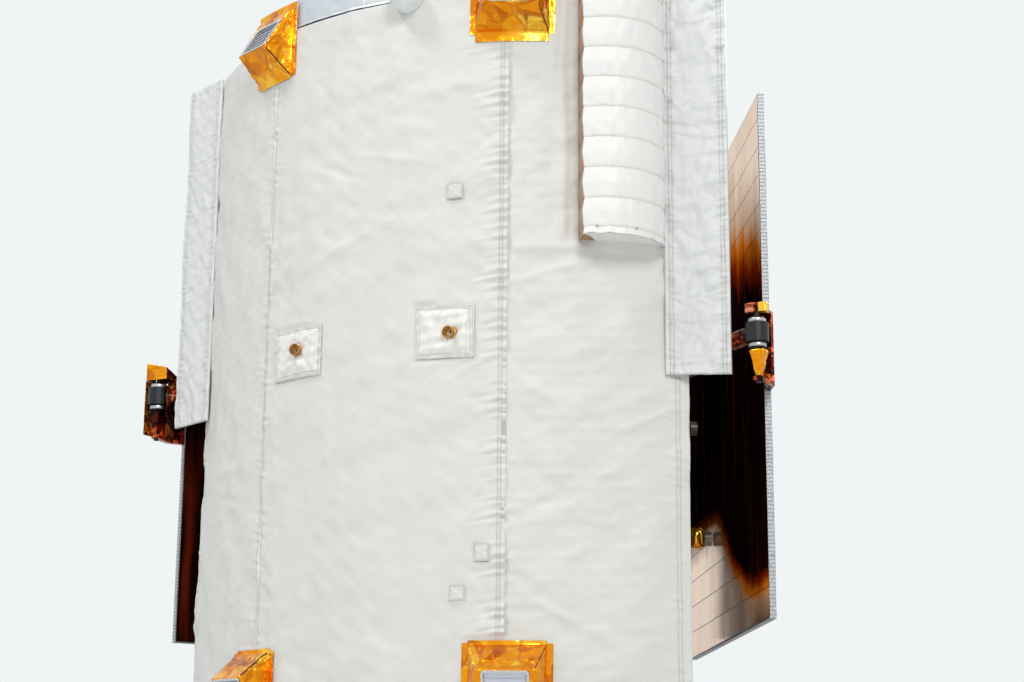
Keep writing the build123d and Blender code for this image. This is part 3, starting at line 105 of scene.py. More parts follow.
class Finish:
    """A finish in the making: its material (or the room's world), whose nodes node() adds."""

    def __init__(self, name, kind=bpy.data.materials):
        self.material = kind.new(name)
        self.material.use_nodes = True
        self.tree = self.material.node_tree
        self.tree.nodes.clear()

    def node(self, kind, settings=None, inputs=None, output=0):
        """Adds a node: settings first (stops are a ramp's), then values or links of its sockets."""
        made = self.tree.nodes.new(kind)
        for key, value in (settings or {}).items():
            if key == "stops":
                ramp = made.color_ramp.elements
                for stop, (place, colour) in enumerate(value):
                    element = ramp[stop] if stop < 2 else ramp.new(place)
                    element.position, element.color = place, colour
            else:
                setattr(made, key, value)
        for key, value in (inputs or {}).items():
            if isinstance(value, Socket):
                self.tree.links.new(value.output, made.inputs[key])
            else:
                made.inputs[key].default_value = value
        return Socket(self, made.outputs[output]) if made.outputs else None

    def object_place(self):
        return self.node("ShaderNodeTexCoord", output=3)

    def along(self, axis, place=None):
        """How far along an axis the place is."""
        return self.node("ShaderNodeSeparateXYZ", None, {0: place or self.object_place()}, axis)

    def uv(self):
        """The piece's own map, in metres, as its two numbers."""
        place = self.node("ShaderNodeUVMap", {"uv_map": "metres"})
        return self.along(0, place), self.along(1, place)

    def vector(self, operation, *values, **named):
        return self.node("ShaderNodeVectorMath", {"operation": operation},
                         {**dict(enumerate(values)), **named})

    def cells(self, scale, place=None, feature="F1", output=0, **more):
        """Cells scattered scale to the metre: the way to their middles or edges, or a colour each."""
        return self.node("ShaderNodeTexVoronoi", {"feature": feature}, {
            "Vector": place or self.object_place(), "Scale": scale, **more}, output)

    def lean(self, chance, amount):
        """A small vector for each cell, from its random colour."""
        return self.vector("SCALE", self.vector("SUBTRACT", chance, (0.5, 0.5, 0.5)), Scale=amount)

    def leaning(self, lean):
        """The surface's normal, tipped over by a small vector."""
        facing = self.node("ShaderNodeNewGeometry", output=1)
        return self.vector("NORMALIZE", self.vector("ADD", facing, lean))

    def stretched(self, scale, place=None, turn=(0.0, 0.0, 0.0)):
        return self.node("ShaderNodeMapping", None, {
            "Vector": place or self.object_place(), "Scale": scale, "Rotation": turn})

    def noise(self, scale, detail=3.0, roughness=0.55, place=None):
        """Cloudy values round 0.5, scale clouds to the metre."""
        return self.node("ShaderNodeTexNoise", None,
                         {"Vector": place or self.object_place(), "Scale": scale, "Detail": detail,
                          "Roughness": roughness})

    def mix(self, factor, first, second):
        """The first colour where the factor is 0 and the second where it is 1."""
        return self.node("ShaderNodeMix", {"data_type": "RGBA", "clamp_factor": True},
                         {0: factor, 6: paint(first), 7: paint(second)}, 2)

    def ramp(self, factor, *stops):
        """Colours that run into each other; each stop is its place from 0 to 1 and its colour."""
        return self.node("ShaderNodeValToRGB", {"stops": [
            (place, paint(colour)) for place, colour in stops]}, {0: factor})

    def bump(self, height, distance, strength=1.0, normal=None):
        """The normal of a surface with this height, which is distance metres where height is 1."""
        inputs = {"Height": height, "Distance": distance, "Strength": strength}
        if normal is not None:
            inputs["Normal"] = normal
        return self.node("ShaderNodeBump", None, inputs)

    def surface(self, **values):
        """Ends the finish with the Principled shader; a word such as base_color names a socket."""
        shader = self.node("ShaderNodeBsdfPrincipled", None,
                           {key.replace("_", " ").title().replace("Ior", "IOR"): value
                            for key, value in values.items()})
        self.node("ShaderNodeOutputMaterial", None, {"Surface": shader})
        return self.material


# Floor and light: a plain pale floor, a pale room all round, one broad lamp on the right, one
# high on the left and one behind.  Cloth turned to the camera shows about the colour it is given.
floor_finish = Finish("floor_paint")
floor_colour = floor_finish.mix(floor_finish.noise(0.7), (226, 229, 229), (234, 236, 236))
floor_material = floor_finish.surface(
    base_color=floor_colour, roughness=0.55,
    normal=floor_finish.bump(floor_finish.noise(60), 0.0002))
floor_mesh = bpy.data.meshes.new("floor")
floor_mesh.from_pydata([(x, y, 0) for x, y in ((-40, -40), (40, -40), (40, 40), (-40, 40))], [],
                       [(0, 1, 2, 3)])
floor_mesh.materials.append(floor_material)
floor = bpy.data.objects.new("floor", floor_mesh)
bpy.context.scene.collection.objects.link(floor)

ROOM_COLOUR = (240, 244, 245)
ROOM_LIGHT = 0.44
sky = Finish("room", bpy.data.worlds)
bpy.context.scene.world = sky.material
shown = sky.node("ShaderNodeLightPath")
for ray in (3, 6):
    shown = shown.most(sky.node("ShaderNodeLightPath", output=ray))
room_light = sky.node("ShaderNodeBackground", None, {0: (1, 1, 1, 1), 1: ROOM_LIGHT})
room_look = sky.node("ShaderNodeBackground", None, {0: paint(ROOM_COLOUR)})
sky.node("ShaderNodeOutputWorld", None, {0: sky.node("ShaderNodeMixShader", None, {
    0: shown, 1: room_light, 2: room_look})})

LAMPS = [
    # place, size, power
    ((8.6, -11.6, 9.4), 5.4, 960),
    ((-5.2, -8.6, 14.0), 4.2, 840),
    ((1.0, 14.0, 11.5), 8.0, 860),
]
for lamp_number, (place, size, power) in enumerate(LAMPS):
    lamp = bpy.data.lights.new(f"lamp_{lamp_number}", "AREA")
    lamp.shape = "DISK"
    lamp.size = size
    lamp.energy = power
    lamp_object = bpy.data.objects.new(f"lamp_{lamp_number}", lamp)
    bpy.context.scene.collection.objects.link(lamp_object)
    towards = np.array((0, 0, 1.3)) - np.array(place)
    lamp_object.rotation_euler = (math.atan2(math.hypot(towards[0], towards[1]), -towards[2]), 0,
                                  math.atan2(towards[1], towards[0]) - math.pi / 2)
    lamp_object.location = place


# Sunshade cloth: white ceramic-fibre cloth over layers of film, sewn from three widths.  The side
# widths meet the middle one in a narrow sewn gutter on the left and under its turned edge on the
# right; the thread gathers the cloth into short puckers beside each row of stitches.
SHADE_R = 1.180
SHADE_BOTTOM, SHADE_TOP = 0.100, 2.605
SHADE_THICK = 0.008


def arc(angle):
    """The way along the shade's curve over an angle."""
    return SHADE_R * math.radians(angle)


SHADE_EDGE = arc(50)
SEAM_LEFT = arc(-21.7)
SEAM_RIGHT = arc(22.0)
STITCHES_RIGHT = (arc(20.75), arc(21.2))
STITCHES_LEFT = (SEAM_LEFT - 0.007, SEAM_LEFT + 0.007)
UP = np.array((0, 0, 1))
SIDES = (("left", -1), ("right", 1))
THREAD = 0.0012
STITCH = 0.006
THREADS_APART = 0.0026
RIPPLES = 6


def joined(*parts):
    """Arrays brought to one shape and joined as the numbers of each point."""
    return np.stack(np.broadcast_arrays(*parts), -1)


def on_shade(s, depth, z):
    """Points of the shade: s metres along its curve from the sun line, depth metres out of its
    face, z metres up."""
    s, depth, z = np.broadcast_arrays(s, depth, z)
    r = SHADE_R + depth
    return np.stack((r * np.sin(s / SHADE_R), -r * np.cos(s / SHADE_R), z), -1)


def waves(u, v, length, seed, count=9):
    """Soft undulation between about -1 and 1: a sum of sine waves in scattered directions, with
    lengths round the given one."""
    random = np.random.default_rng(seed)
    total = 0
    for turn, stretch, start in zip(*random.uniform(0, 1, (3, count))):
        number = 2 * np.pi / (length * (0.6 + stretch))
        total = total + np.sin(number * (u * np.cos(np.pi * turn) + v * np.sin(np.pi * turn))
                               + 2 * np.pi * start)
    return total / math.sqrt(count)


def ripples(u, length, seed):
    """Uneven ripples along one way, between about -1 and 1: sine waves with lengths near the given
    one, added."""
    random = np.random.default_rng(seed)
    total = 0
    for stretch, start in random.uniform(0, 1, (RIPPLES, 2)):
        total = total + np.sin(2 * np.pi * (u / (length * (0.72 + 0.7 * stretch)) + start))
    return total / math.sqrt(RIPPLES)


def puckers(along, away, spacing, reach, seed):
    """Gathered cloth beside a row of stitches: short folds across the row, uneven in spacing and
    size, strongest at the thread and fading within reach."""
    folds = ripples(along + 0.18 * away, spacing, seed)
    folds = folds * (0.7 + 0.4 * ripples(along, 6 * spacing, seed + 1))
    return folds * np.exp(-np.abs(away) / (reach * (1 + 0.4 * ripples(along, 2.3 * spacing, seed + 2))))


def dented(relief, u, v, seed, count, deep, *limits):
    """A relief with straight dents and ridges askew at random places.  The limits are those of their
    two places, lean, length and width."""
    random = np.random.default_rng(seed)
    for _ in range(count):
        u0, v0, lean, long, wide = (random.uniform(*limit) for limit in limits)
        p = (u - u0) * math.cos(lean) + (v - v0) * math.sin(lean)
        q = (v - v0) * math.cos(lean) - (u - u0) * math.sin(lean)
        relief = relief + random.uniform(-deep, deep) * np.exp(-(p / long) ** 2 - (q / wide) ** 2)
    return relief


def groove(away, width):
    return -np.exp(-(away / width) ** 2)


def spread(first, last, coarse, fine, near, reach):
    """Places from first to last, fine apart within reach of the near ones and coarse elsewhere."""
    walk = np.linspace(first, last, 2000)
    away = np.abs(walk[:, None] - np.array(near)[None]).min(1)
    step = np.where(away < reach, fine, coarse)
    count = np.concatenate(([0], np.cumsum(0.5 * (1 / step[1:] + 1 / step[:-1]) * np.diff(walk))))
    return np.interp(np.linspace(0, count[-1], int(np.ceil(count[-1])) + 1), count, walk)


def grid_faces(rows, columns, around=False):
    """The four-cornered faces of a grid of points; around joins the last column to the first."""
    index = np.arange(rows * columns).reshape(rows, columns)
    beside = np.roll(index, -1, 1)
    if not around:
        index, beside = index[:, :-1], beside[:, :-1]
    return np.stack((index[:-1], beside[:-1], beside[1:], index[1:]), -1).reshape(-1, 4)


def piece(name, points, faces, material, body="bus", uv=None, smooth=True):
    """An object from points and faces, with its material, riding on a body.  uv is a pair of
    numbers for each point, in metres."""
    mesh = bpy.data.meshes.new(name)
    points, faces = np.asarray(points, float).reshape(-1, 3), np.asarray(faces)
    mesh.vertices.add(len(points))
    mesh.vertices.foreach_set("co", points.ravel())
    mesh.loops.add(faces.size)
    mesh.loops.foreach_set("vertex_index", faces.ravel())
    mesh.polygons.add(len(faces))
    mesh.polygons.foreach_set("loop_start", np.arange(len(faces)) * faces.shape[1])
    mesh.polygons.foreach_set("use_smooth", np.full(len(faces), smooth))
    if uv is not None:
        layer = mesh.uv_layers.new(name="metres")
        layer.data.foreach_set("uv", np.asarray(uv, float).reshape(-1, 2)[faces.ravel()].ravel())
    mesh.validate()
    mesh.update()
    mesh.materials.append(material)
    made = bpy.data.objects.new(name, mesh)
    bpy.context.scene.collection.objects.link(made)
    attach(made, body)
    return made


def turned_edge(s, edge, radius):
    """Cloth turned round an edge: beyond it the way goes on over a half circle and back behind.
    Gives the place along the face and the depth."""
    side = np.sign(edge)
    past = side * (s - edge)
    round_it = np.clip(past, 0, np.pi * radius)
    along = s - side * (np.clip(past, 0, None)) + side * (
        radius * np.sin(round_it / radius) - np.clip(past - np.pi * radius, 0, None))
    return along, -radius * (1 - np.cos(round_it / radius))


def ceramic_cloth(name, seams, colour, tint, gloss=0.0):
    """White ceramic-fibre cloth with a fine weave; seams are places across it where thread shows."""
    finish = Finish(name)
    s, z = finish.uv()
    cloudy = finish.noise(4.0, 4.0)
    fibres = finish.noise(90.0, 2.0)
    weave = (s.math("SINE", s * (2 * math.pi / THREADS_APART))
             * z.math("SINE", z * (2 * math.pi / THREADS_APART)))
    shade = finish.mix(cloudy * 0.9 + fibres * 0.25 - 0.1, colour, tint)
    away = [abs(s - seam) for seam in seams]
    thread = functools.reduce(Socket.most, [way < THREAD for way in away])
    near = functools.reduce(Socket.most, [1 - way / 0.006 for way in away])
    stitched = thread * (((z / STITCH) % 1.0) < 0.62)
    near = near.most(0.0)
    # Painted shade: the cloth is painted darker towards each seam, in its sewn groove
    shade = finish.mix(near * 0.5, shade, (208, 208, 201))
    shade = finish.mix(stitched * 0.6, shade, (190, 189, 178))
    height = weave * 0.12 + fibres * 0.3 + stitched * 1.5 - near * 0.8
    return finish.surface(
        base_color=shade, roughness=cloudy * 0.08 + (0.43 - gloss), specular_ior_level=0.45,
        normal=finish.bump(height, 0.0008))


FLAT_SPOTS = [
    # angle of the middle, half width, bottom, top
    (-22.1, 0.112, 0.264, 0.543),
    (22.4, 0.139, 0.264, 0.543),
    (-22.1, 0.112, 2.434, 2.713),
    (22.4, 0.139, 2.434, 2.713),
    (-13.9, 0.108, 1.386, 1.560),
    (12.5, 0.098, 1.398, 1.575),
]
HEM = 0.045
FOLD = 0.004
WIDTHS = [
    # name, its two edges, cloth past each, places with fine cloth and their reach, the edge that it is
    # turned round and the radius of that turn, seams, seed
    ("left", -SHADE_EDGE, SEAM_LEFT, HEM, 0.008, (SEAM_LEFT, -SHADE_EDGE, -SHADE_EDGE - 0.01), 0.055,
     -SHADE_EDGE, FOLD, (STITCHES_LEFT[0], -SHADE_EDGE + 0.030, -SHADE_EDGE + 0.042), 11),
    ("middle", SEAM_LEFT, SEAM_RIGHT, 0, 0.018, (SEAM_LEFT, SEAM_RIGHT - 0.02), 0.075,
     SEAM_RIGHT, 0.0014, (STITCHES_LEFT[1], *STITCHES_RIGHT), 23),
    ("right", SEAM_RIGHT, SHADE_EDGE, 0.012, HEM, (SEAM_RIGHT, SHADE_EDGE, SHADE_EDGE + 0.01), 0.055,
     SHADE_EDGE, FOLD, (SHADE_EDGE - 0.030, SHADE_EDGE - 0.042), 37),
]
way = spread(SHADE_BOTTOM - 0.040, SHADE_TOP + 0.040, 0.005, 0.0035, (SHADE_BOTTOM, SHADE_TOP), 0.02)
middle_z = (SHADE_BOTTOM + SHADE_TOP) / 2
height, fold_depth = np.where(way > middle_z, *(
    turned_edge(way - middle_z, end - middle_z, FOLD) for end in (SHADE_TOP, SHADE_BOTTOM)))
height = height + middle_z
z = way[:, None]
for name, first, last, before, after, near, reach, turned_at, radius, seams, seed in WIDTHS:
    s = spread(first - before, last + after, 0.012, 0.0035, near, reach)
    along, edge_depth = turned_edge(s, turned_at, radius)
    a, depth = s[None], fold_depth[:, None] + edge_depth[None]
    front = np.clip(1 - np.abs(depth) / FOLD, 0, 1)
    relief = 0.0030 * waves(a, 0.25 * z, 0.30, seed) + 0.0026 * waves(a, z, 0.17, seed + 1)
    relief += 0.0010 * waves(a, 1.5 * z, 0.065, seed + 2, 14)
    if name == "left":
        relief -= 0.004 * np.clip(1 - (SEAM_LEFT - a) / 0.010, 0, 1.4) ** 2
        relief += 0.0022 * puckers(z, a - STITCHES_LEFT[0], 0.030, 0.022, 3)
        relief += 0.0014 * groove(a - STITCHES_LEFT[0], 0.0022)
        relief += 0.0026 * puckers(z, a + SHADE_EDGE - 0.036, 0.024, 0.02, 5)
    elif name == "middle":
        relief -= 0.0030 * np.clip(1 - (a - SEAM_LEFT) / 0.008, 0, 1) ** 2
        relief += 0.0022 * puckers(z, a - STITCHES_LEFT[1], 0.030, 0.022, 7)
        relief += 0.0014 * groove(a - STITCHES_LEFT[1], 0.0022)
        left_of = np.clip(STITCHES_RIGHT[0] - a, 0, None)
        relief += 0.0058 * puckers(z, left_of, 0.024, 0.026, 9)
        relief += 0.0018 * (groove(a - STITCHES_RIGHT[0], 0.0024)
                                    + groove(a - STITCHES_RIGHT[1], 0.0024))
        relief += 0.0012 * np.clip(1 - (SEAM_RIGHT - a) / 0.006, 0, 1)
    else:
        relief -= 0.0045 * np.clip(1 - (a - SEAM_RIGHT) / 0.012, 0, 1)
        relief += 0.0016 * puckers(z, a - SEAM_RIGHT, 0.040, 0.020, 13)
        relief += 0.0030 * puckers(z, a - SHADE_EDGE + 0.036, 0.024, 0.02, 15)
        # An upright fold beside the quilted cover's wall
        beside = np.clip((z - 1.76) / 0.05, 0, 1)
        ridge = a - 0.622 - 0.004 * ripples(z, 0.5, 17)
        relief += 0.009 * beside * np.exp(-(ridge / 0.016) ** 2)
        relief -= 0.004 * beside * np.exp(-((a - 0.590) / 0.018) ** 2)
        # The roll of cloth where the width is drawn in under the quilted cover
        roll = np.exp(-((z - 1.748 - 0.05 * (a - 0.5)) / 0.020) ** 2)
        relief += 0.0080 * roll * np.clip((0.80 - a) / 0.25, 0, 1) * np.clip(
            (a - SEAM_RIGHT - 0.01) / 0.02, 0, 1)
    # Dents where the cloth hangs slack between its ties
    relief = dented(relief, a, z, seed + 5, 34, 0.0058,
                    (first, last), (0.3, 2.4), (-0.6, 0.6), (0.05, 0.16), (0.012, 0.03))
    relief = np.clip(relief, -0.0040, 0.012)
    # Pulled flat under the sensor housings and the nozzles' pads
    for middle, half, bottom, top in FLAT_SPOTS:
        outside = np.maximum(np.abs(a - arc(middle)) - half, np.maximum(bottom - z, z - top))
        relief = relief * np.clip(outside / 0.015, 0, 1)
    cloth = piece(f"shade_width_{name}",
                  on_shade(along[None], depth - 0.001 + relief * front, height[:, None]),
                  grid_faces(len(way), len(s)),
                  ceramic_cloth(f"shade_width_{name}_cloth", seams, (217, 218, 213), (225, 225, 221)),
                  uv=joined(a, z))
    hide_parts("shade_cloth")

# Inspection squares: three small patches sewn over openings in the cloth, one row of stitches in
# from their turned rims.
SQUARES = [
    # name, first angle, last angle, bottom, top
    ("upper", 12.5, 15.0, 1.917, 1.970),
    ("middle", 17.4, 19.65, 0.775, 0.830),
    ("lower", 13.8, 16.2, 0.657, 0.705),
]
SQUARE_ROW = 0.0045


def inside_rim(u, v, wide, tall):
    """How far inside a rectangle's rim places are."""
    return np.minimum(np.minimum(u, wide - u), np.minimum(v, tall - v))


for name, first, last, bottom, top in SQUARES:
    first, wide, tall = arc(first), arc(last - first), top - bottom
    s, z = np.linspace(0, wide, 40)[None], np.linspace(0, tall, 40)[:, None]
    edge = inside_rim(s, z, wide, tall)
    lift = 0.0016 * np.clip(edge / 0.0015, 0, 1) ** 0.5 + 0.0012 * groove(edge - SQUARE_ROW, 0.0013)
    lift = lift + 0.0005 * waves(s, z, 0.02, 91)
    tilted = 0.03 * (s - wide / 2)
    points = on_shade(first + s, 0.0022 + lift, bottom + z + tilted)
    finish = Finish(f"square_cloth_{name}")
    u, up = finish.uv()
    from_rim = u.least(wide - u).least(up.least(tall - up))
    row = abs(from_rim - SQUARE_ROW) < 0.0012
    cloudy = finish.noise(30.0)
    shade = finish.mix(cloudy, (215, 214, 207), (224, 223, 217))
    shade = finish.mix(row * ((((u + up) / 0.005) % 1.0) < 0.6) * 0.7, shade, (172, 162, 142))
    shade = finish.mix((from_rim < 0.0016) * 0.6, shade, (184, 178, 164))
    patch = piece(f"cloth_square_{name}", points, grid_faces(40, 40),
                  finish.surface(base_color=shade, roughness=0.5 + cloudy * 0.1,
                                 normal=finish.bump(finish.noise(150.0, 2.0) + row, 0.0004)),
                  uv=joined(s, z))

# Sunshade lining: the inmost sheet of amber film, tufted to the cloth in a wide diamond pattern.
s = np.linspace(-SHADE_EDGE + 0.012, SHADE_EDGE - 0.012, 93)[None]
z = np.linspace(SHADE_BOTTOM + 0.012, SHADE_TOP - 0.012, 113)[:, None]
tufts = np.abs(np.sin(np.pi * s / 0.26) * np.sin(np.pi * z / 0.26)) ** 0.5
points = on_shade(s, -SHADE_THICK - 0.0015 - 0.004 * tufts - 0.001 * waves(s, z, 0.07, 4), z)


FACET_SHARES = (0.62, 0.38)


def crinkled_film(name, pale, bright, middle, deep, size, roughness, metallic=0.9, tilt=0.5, low=0.18):
    """Metal-coated film that has been crumpled and smoothed out: each flat facet, about size metres
    across, leans its own way and is painted its own tone from deep to pale, as painted reflections
    and highlights, and a dark line of painted shade runs along some creases."""
    finish = Finish(name)
    place = finish.object_place()
    drift = finish.node("ShaderNodeTexNoise", None, {"Vector": place, "Scale": 0.5 / size}, 1)
    bent = finish.node("ShaderNodeMix", {"data_type": "VECTOR"}, {0: 0.10, 4: place, 5: drift}, 1)
    spots = [finish.stretched((scale / size, 0.5 * scale / size, scale / size), bent, turn)
             for scale, turn in ((1.0, (0.5, 0.7, 0.4)), (2.4, (0.2, 0.9, 1.3)))]
    chances = [finish.cells(1.0, spot, output=1) for spot in spots]
    lean = finish.vector("ADD", *(finish.lean(chance, tilt * share)
                                  for chance, share in zip(chances, FACET_SHARES)))
    large, small = (finish.along(0, chance) * share for chance, share in zip(chances, FACET_SHARES))
    crease = finish.cells(1.0, spots[0], "DISTANCE_TO_EDGE")
    cloudy = finish.noise(0.7 / size, 4.0)
    # Painted reflections and highlights: each facet is given a tone from deep to pale
    shade = finish.ramp(large + small + cloudy * 0.5 - 0.25,
                        (low, deep), (low + 0.2, middle), (0.62, bright), (0.86, pale))
    # Painted shade: a dark line along some creases
    shade = finish.mix((crease < 0.045) * (cloudy * 2.2 - 0.75), shade, deep)
    return finish.surface(
        base_color=shade, metallic=metallic, roughness=cloudy * 0.16 + (roughness - 0.08),
        normal=finish.bump(cloudy, 0.1 * size, 0.5, finish.leaning(lean)))


lining = piece("shade_lining", points, grid_faces(113, 93)[:, ::-1],
               crinkled_film("lining_film", (244, 208, 128), (228, 180, 88), (198, 140, 52),
                             (160, 104, 40), 0.05, 0.26, tilt=0.24, low=0.06))


# Shade frame: welded titanium tube hoops and posts behind the cloth, slightly straw-coloured in
# patches, and eight struts that carry them on the body.
def dress(name, material):
    """Gives a CAD node its material."""
    node = nodes[name]
    if not node.material_slots:
        node.data.materials.append(None)
    for place in node.material_slots:
        place.link = "OBJECT"
        place.material = material


TITANIUM = (158, 154, 148)
finish = Finish("titanium_tube")
streaks = finish.noise(30.0, 3.0, place=finish.stretched((1.0, 1.0, 0.15)))
cloudy = finish.noise(3.0, 4.0)
shade = finish.mix(cloudy * 1.6 - 0.4, TITANIUM, (176, 158, 126))
titanium = finish.surface(base_color=finish.mix(streaks * 0.5, shade, TITANIUM), metallic=0.9,
                          roughness=streaks * 0.22 + 0.24, normal=finish.bump(streaks, 0.0003))
for name in ("shade_hoops", "shade_posts", "shade_struts"):
    dress(name, titanium)

# Side flaps: flat hemmed blankets of the same cloth at both edges of the shade, in front of the
# array hinges.  Two rows of stitches run round the hem; the face puckers and shines between them.
FLAP_ROOT = math.radians(46.2)
FLAP_TURN = math.radians(21.7)
FLAP_WIDTH = 0.2056
FLAP_BOTTOM, FLAP_TOP = 1.363, 2.626
FLAP_TALL = FLAP_TOP - FLAP_BOTTOM
FLAP_THICK = 0.010
FLAP_ROWS = (0.016, 0.027)
FLAP_LIFT = 0.0004


def two_sided(front, back):
    """The points and faces of a closed piece from two grids of points whose rims coincide: the
    back's rim points give way to the front's."""
    rows, columns = front.shape[:2]
    index = np.arange(rows * columns).reshape(rows, columns)
    behind = index + rows * columns
    for rim in (np.s_[0], np.s_[-1], np.s_[:, 0], np.s_[:, -1]):
        behind[rim] = index[rim]
    faces = [i.ravel()[grid_faces(rows, columns)] for i in (index, behind[:, ::-1])]
    points = np.concatenate((front.reshape(-1, 3), back.reshape(-1, 3)))
    used, faces = np.unique(np.concatenate(faces), return_inverse=True)
    return points[used], faces.reshape(-1, 4), used % (rows * columns)


def swell(u, v, width, height, round_over):
    """1 over a rectangle's middle, falling to 0 at its rim over the given distance as a quarter
    circle does."""
    t = np.clip(1 - inside_rim(u, v, width, height) / round_over, 0, 1)
    return np.sqrt(np.clip(1 - t ** 2, 0, 1))


for (name, side), seed, rough in zip(SIDES, (41, 53), (0.42, 1.0)):
    w, z = (spread(0, long, coarse, 0.0018, (0, FLAP_ROWS[0], long, long - FLAP_ROWS[0]), 0.008)
            for long, coarse in ((FLAP_WIDTH, 0.006), (FLAP_TALL, 0.005)))
    w, z = w[None], z[:, None]
    rise = swell(w, z, FLAP_WIDTH, FLAP_TALL, 0.005)
    relief = 0.0038 * waves(w, 0.4 * z, 0.13, seed) + 0.0034 * waves(w, z, 0.055, seed + 1, 14)
    for inset in FLAP_ROWS:
        for away, along in ((w - inset, z), (FLAP_WIDTH - inset - w, z), (z - inset, w),
                            (FLAP_TALL - inset - z, w)):
            relief += 0.0012 * groove(away, 0.0022)
            relief += 0.0034 * puckers(along + 0 * away, away + 0 * along, 0.018, 0.013, seed)
    # A soft upright fold, and many small sharp creases askew
    relief += 0.0035 * np.exp(-((w - 0.072 - 0.012 * waves(z, 0 * z, 0.7, seed)) / 0.012) ** 2)
    relief = dented(relief, w, z, seed, 80, 0.0065,
                    (0.02, 0.19), (0.03, FLAP_TALL), (-1.2, 1.2), (0.02, 0.07), (0.003, 0.009))
    run = np.array((side * math.cos(FLAP_TURN), math.sin(FLAP_TURN), 0))
    out = np.array((side * math.sin(FLAP_TURN), -math.cos(FLAP_TURN), 0))
    inner = np.array((side * (SHADE_R + FLAP_LIFT) * math.sin(FLAP_ROOT),
                      -(SHADE_R + FLAP_LIFT) * math.cos(FLAP_ROOT), FLAP_BOTTOM))
    base = inner + w[..., None] * run + z[..., None] * UP
    lift = (FLAP_THICK - 0.002) * rise + 0.001 + rough * relief * np.clip(rise, 0, 1)
    front = base + lift[..., None] * out
    back = base + (0.001 - 0.0006 * rise)[..., None] * out
    points, faces, source = two_sided(front[:, ::side], back[:, ::side])
    seams = (*FLAP_ROWS, *(FLAP_WIDTH - row for row in FLAP_ROWS))
    flap = piece(f"flap_{name}", points, faces,
                 ceramic_cloth(f"flap_cloth_{name}", seams, (216, 218, 217), (226, 228, 227), 0.12),
                 uv=joined(w, z)[:, ::side].reshape(-1, 2)[source])
    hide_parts(f"shade_flap_{name}")

# Antenna cover: a tall quilted blanket over the sun-side antenna.  Level rows of stitches draw the
# padding into channels; its left wall stands steeply and the front rolls over to the right.
COVER_BOTTOM, COVER_TOP = 1.775, 2.690
COVER_FIRST, COVER_MIDDLE, COVER_LAST = 32.7, 40.5, 45.8
COVER_DEPTHS = (0.095, 0.112, 0.034)
QUILT = 0.0994
HEM_LINE = 1.797
FIRST_ROW = 1.886


def arc_through(first, middle, last, count):
    """Points of the circle through three points in a plane, from the first to the last."""
    (ax, ay), (bx, by), (cx, cy) = first, middle, last
    twice = 2 * (ax * (by - cy) + bx * (cy - ay) + cx * (ay - by))
    sums = [px ** 2 + py ** 2 for px, py in (first, middle, last)]
    x0 = (sums[0] * (by - cy) + sums[1] * (cy - ay) + sums[2] * (ay - by)) / twice
    y0 = (sums[0] * (cx - bx) + sums[1] * (ax - cx) + sums[2] * (bx - ax)) / twice
    angles = np.unwrap([math.atan2(py - y0, px - x0) for px, py in (first, middle, last)])
    turn = np.linspace(angles[0], angles[2], count)
    radius = math.hypot(ax - x0, ay - y0)
    return np.stack((x0 + radius * np.cos(turn), y0 + radius * np.sin(turn)), -1)


def softened(line, times):
    """A line of points with its corners rounded off, each time by the mean of neighbours."""
    for _ in range(times):
        line[1:-1] = (line[:-2] + 2 * line[1:-1] + line[2:]) / 4
    return line


def way_along(line):
    return np.concatenate(([0], np.cumsum(np.linalg.norm(np.diff(line, axis=0), axis=1))))


# The outline from above: up the left wall, round a soft corner and over the front
front = arc_through(*(on_shade(arc(angle), depth, 0)[:2] for angle, depth in zip(
    (COVER_FIRST, COVER_MIDDLE, COVER_LAST), COVER_DEPTHS)), 400)
wall = np.linspace(on_shade(arc(COVER_FIRST), 0.0, 0)[:2], front[0], 120)[:-1]
back = np.linspace(front[-1], on_shade(arc(COVER_LAST), 0.0, 0)[:2], 40)[1:]
line = softened(np.concatenate((wall, front, back)), 14)
length = way_along(line)
COLUMNS, ROWS = 96, 300
v = np.linspace(0, length[-1], COLUMNS)
line_x, line_y = np.interp(v, length, line[:, 0]), np.interp(v, length, line[:, 1])
normal_x, normal_y = np.gradient(line_y, v), -np.gradient(line_x, v)
z = np.linspace(COVER_BOTTOM, COVER_TOP, ROWS)[:, None]
row = (z - FIRST_ROW) / QUILT + 0.015 * ripples(v[None], 0.2, 77)
from_row = np.where(z > FIRST_ROW, (0.5 - np.abs((row % 1) - 0.5)) * QUILT,
                    np.minimum(np.abs(z - FIRST_ROW), np.abs(z - HEM_LINE)))
puff = 0.0068 * np.clip(from_row / (QUILT / 2), 0, 1) ** 0.45
around = v[None] + 0 * z
relief = puff + 0.0014 * puckers(around, from_row, 0.026, 0.014, 71) + 0.0010 * waves(around, z, 0.06, 73)
ends = np.clip(np.minimum(around, length[-1] - around) / 0.02, 0, 1) ** 0.5
ends = ends * np.clip(np.minimum(z - COVER_BOTTOM, COVER_TOP - z) / 0.012, 0, 1) ** 0.5
relief = (relief - 0.006) * ends
sag = 0.003 + 0.006 * around / length[-1] + 0.0012 * ripples(around, 0.05, 79)
sag = sag * np.clip((HEM_LINE + 0.03 - z) / 0.04, 0, 1)
points = np.stack((line_x + normal_x * relief, line_y + normal_y * relief, z - sag), -1)
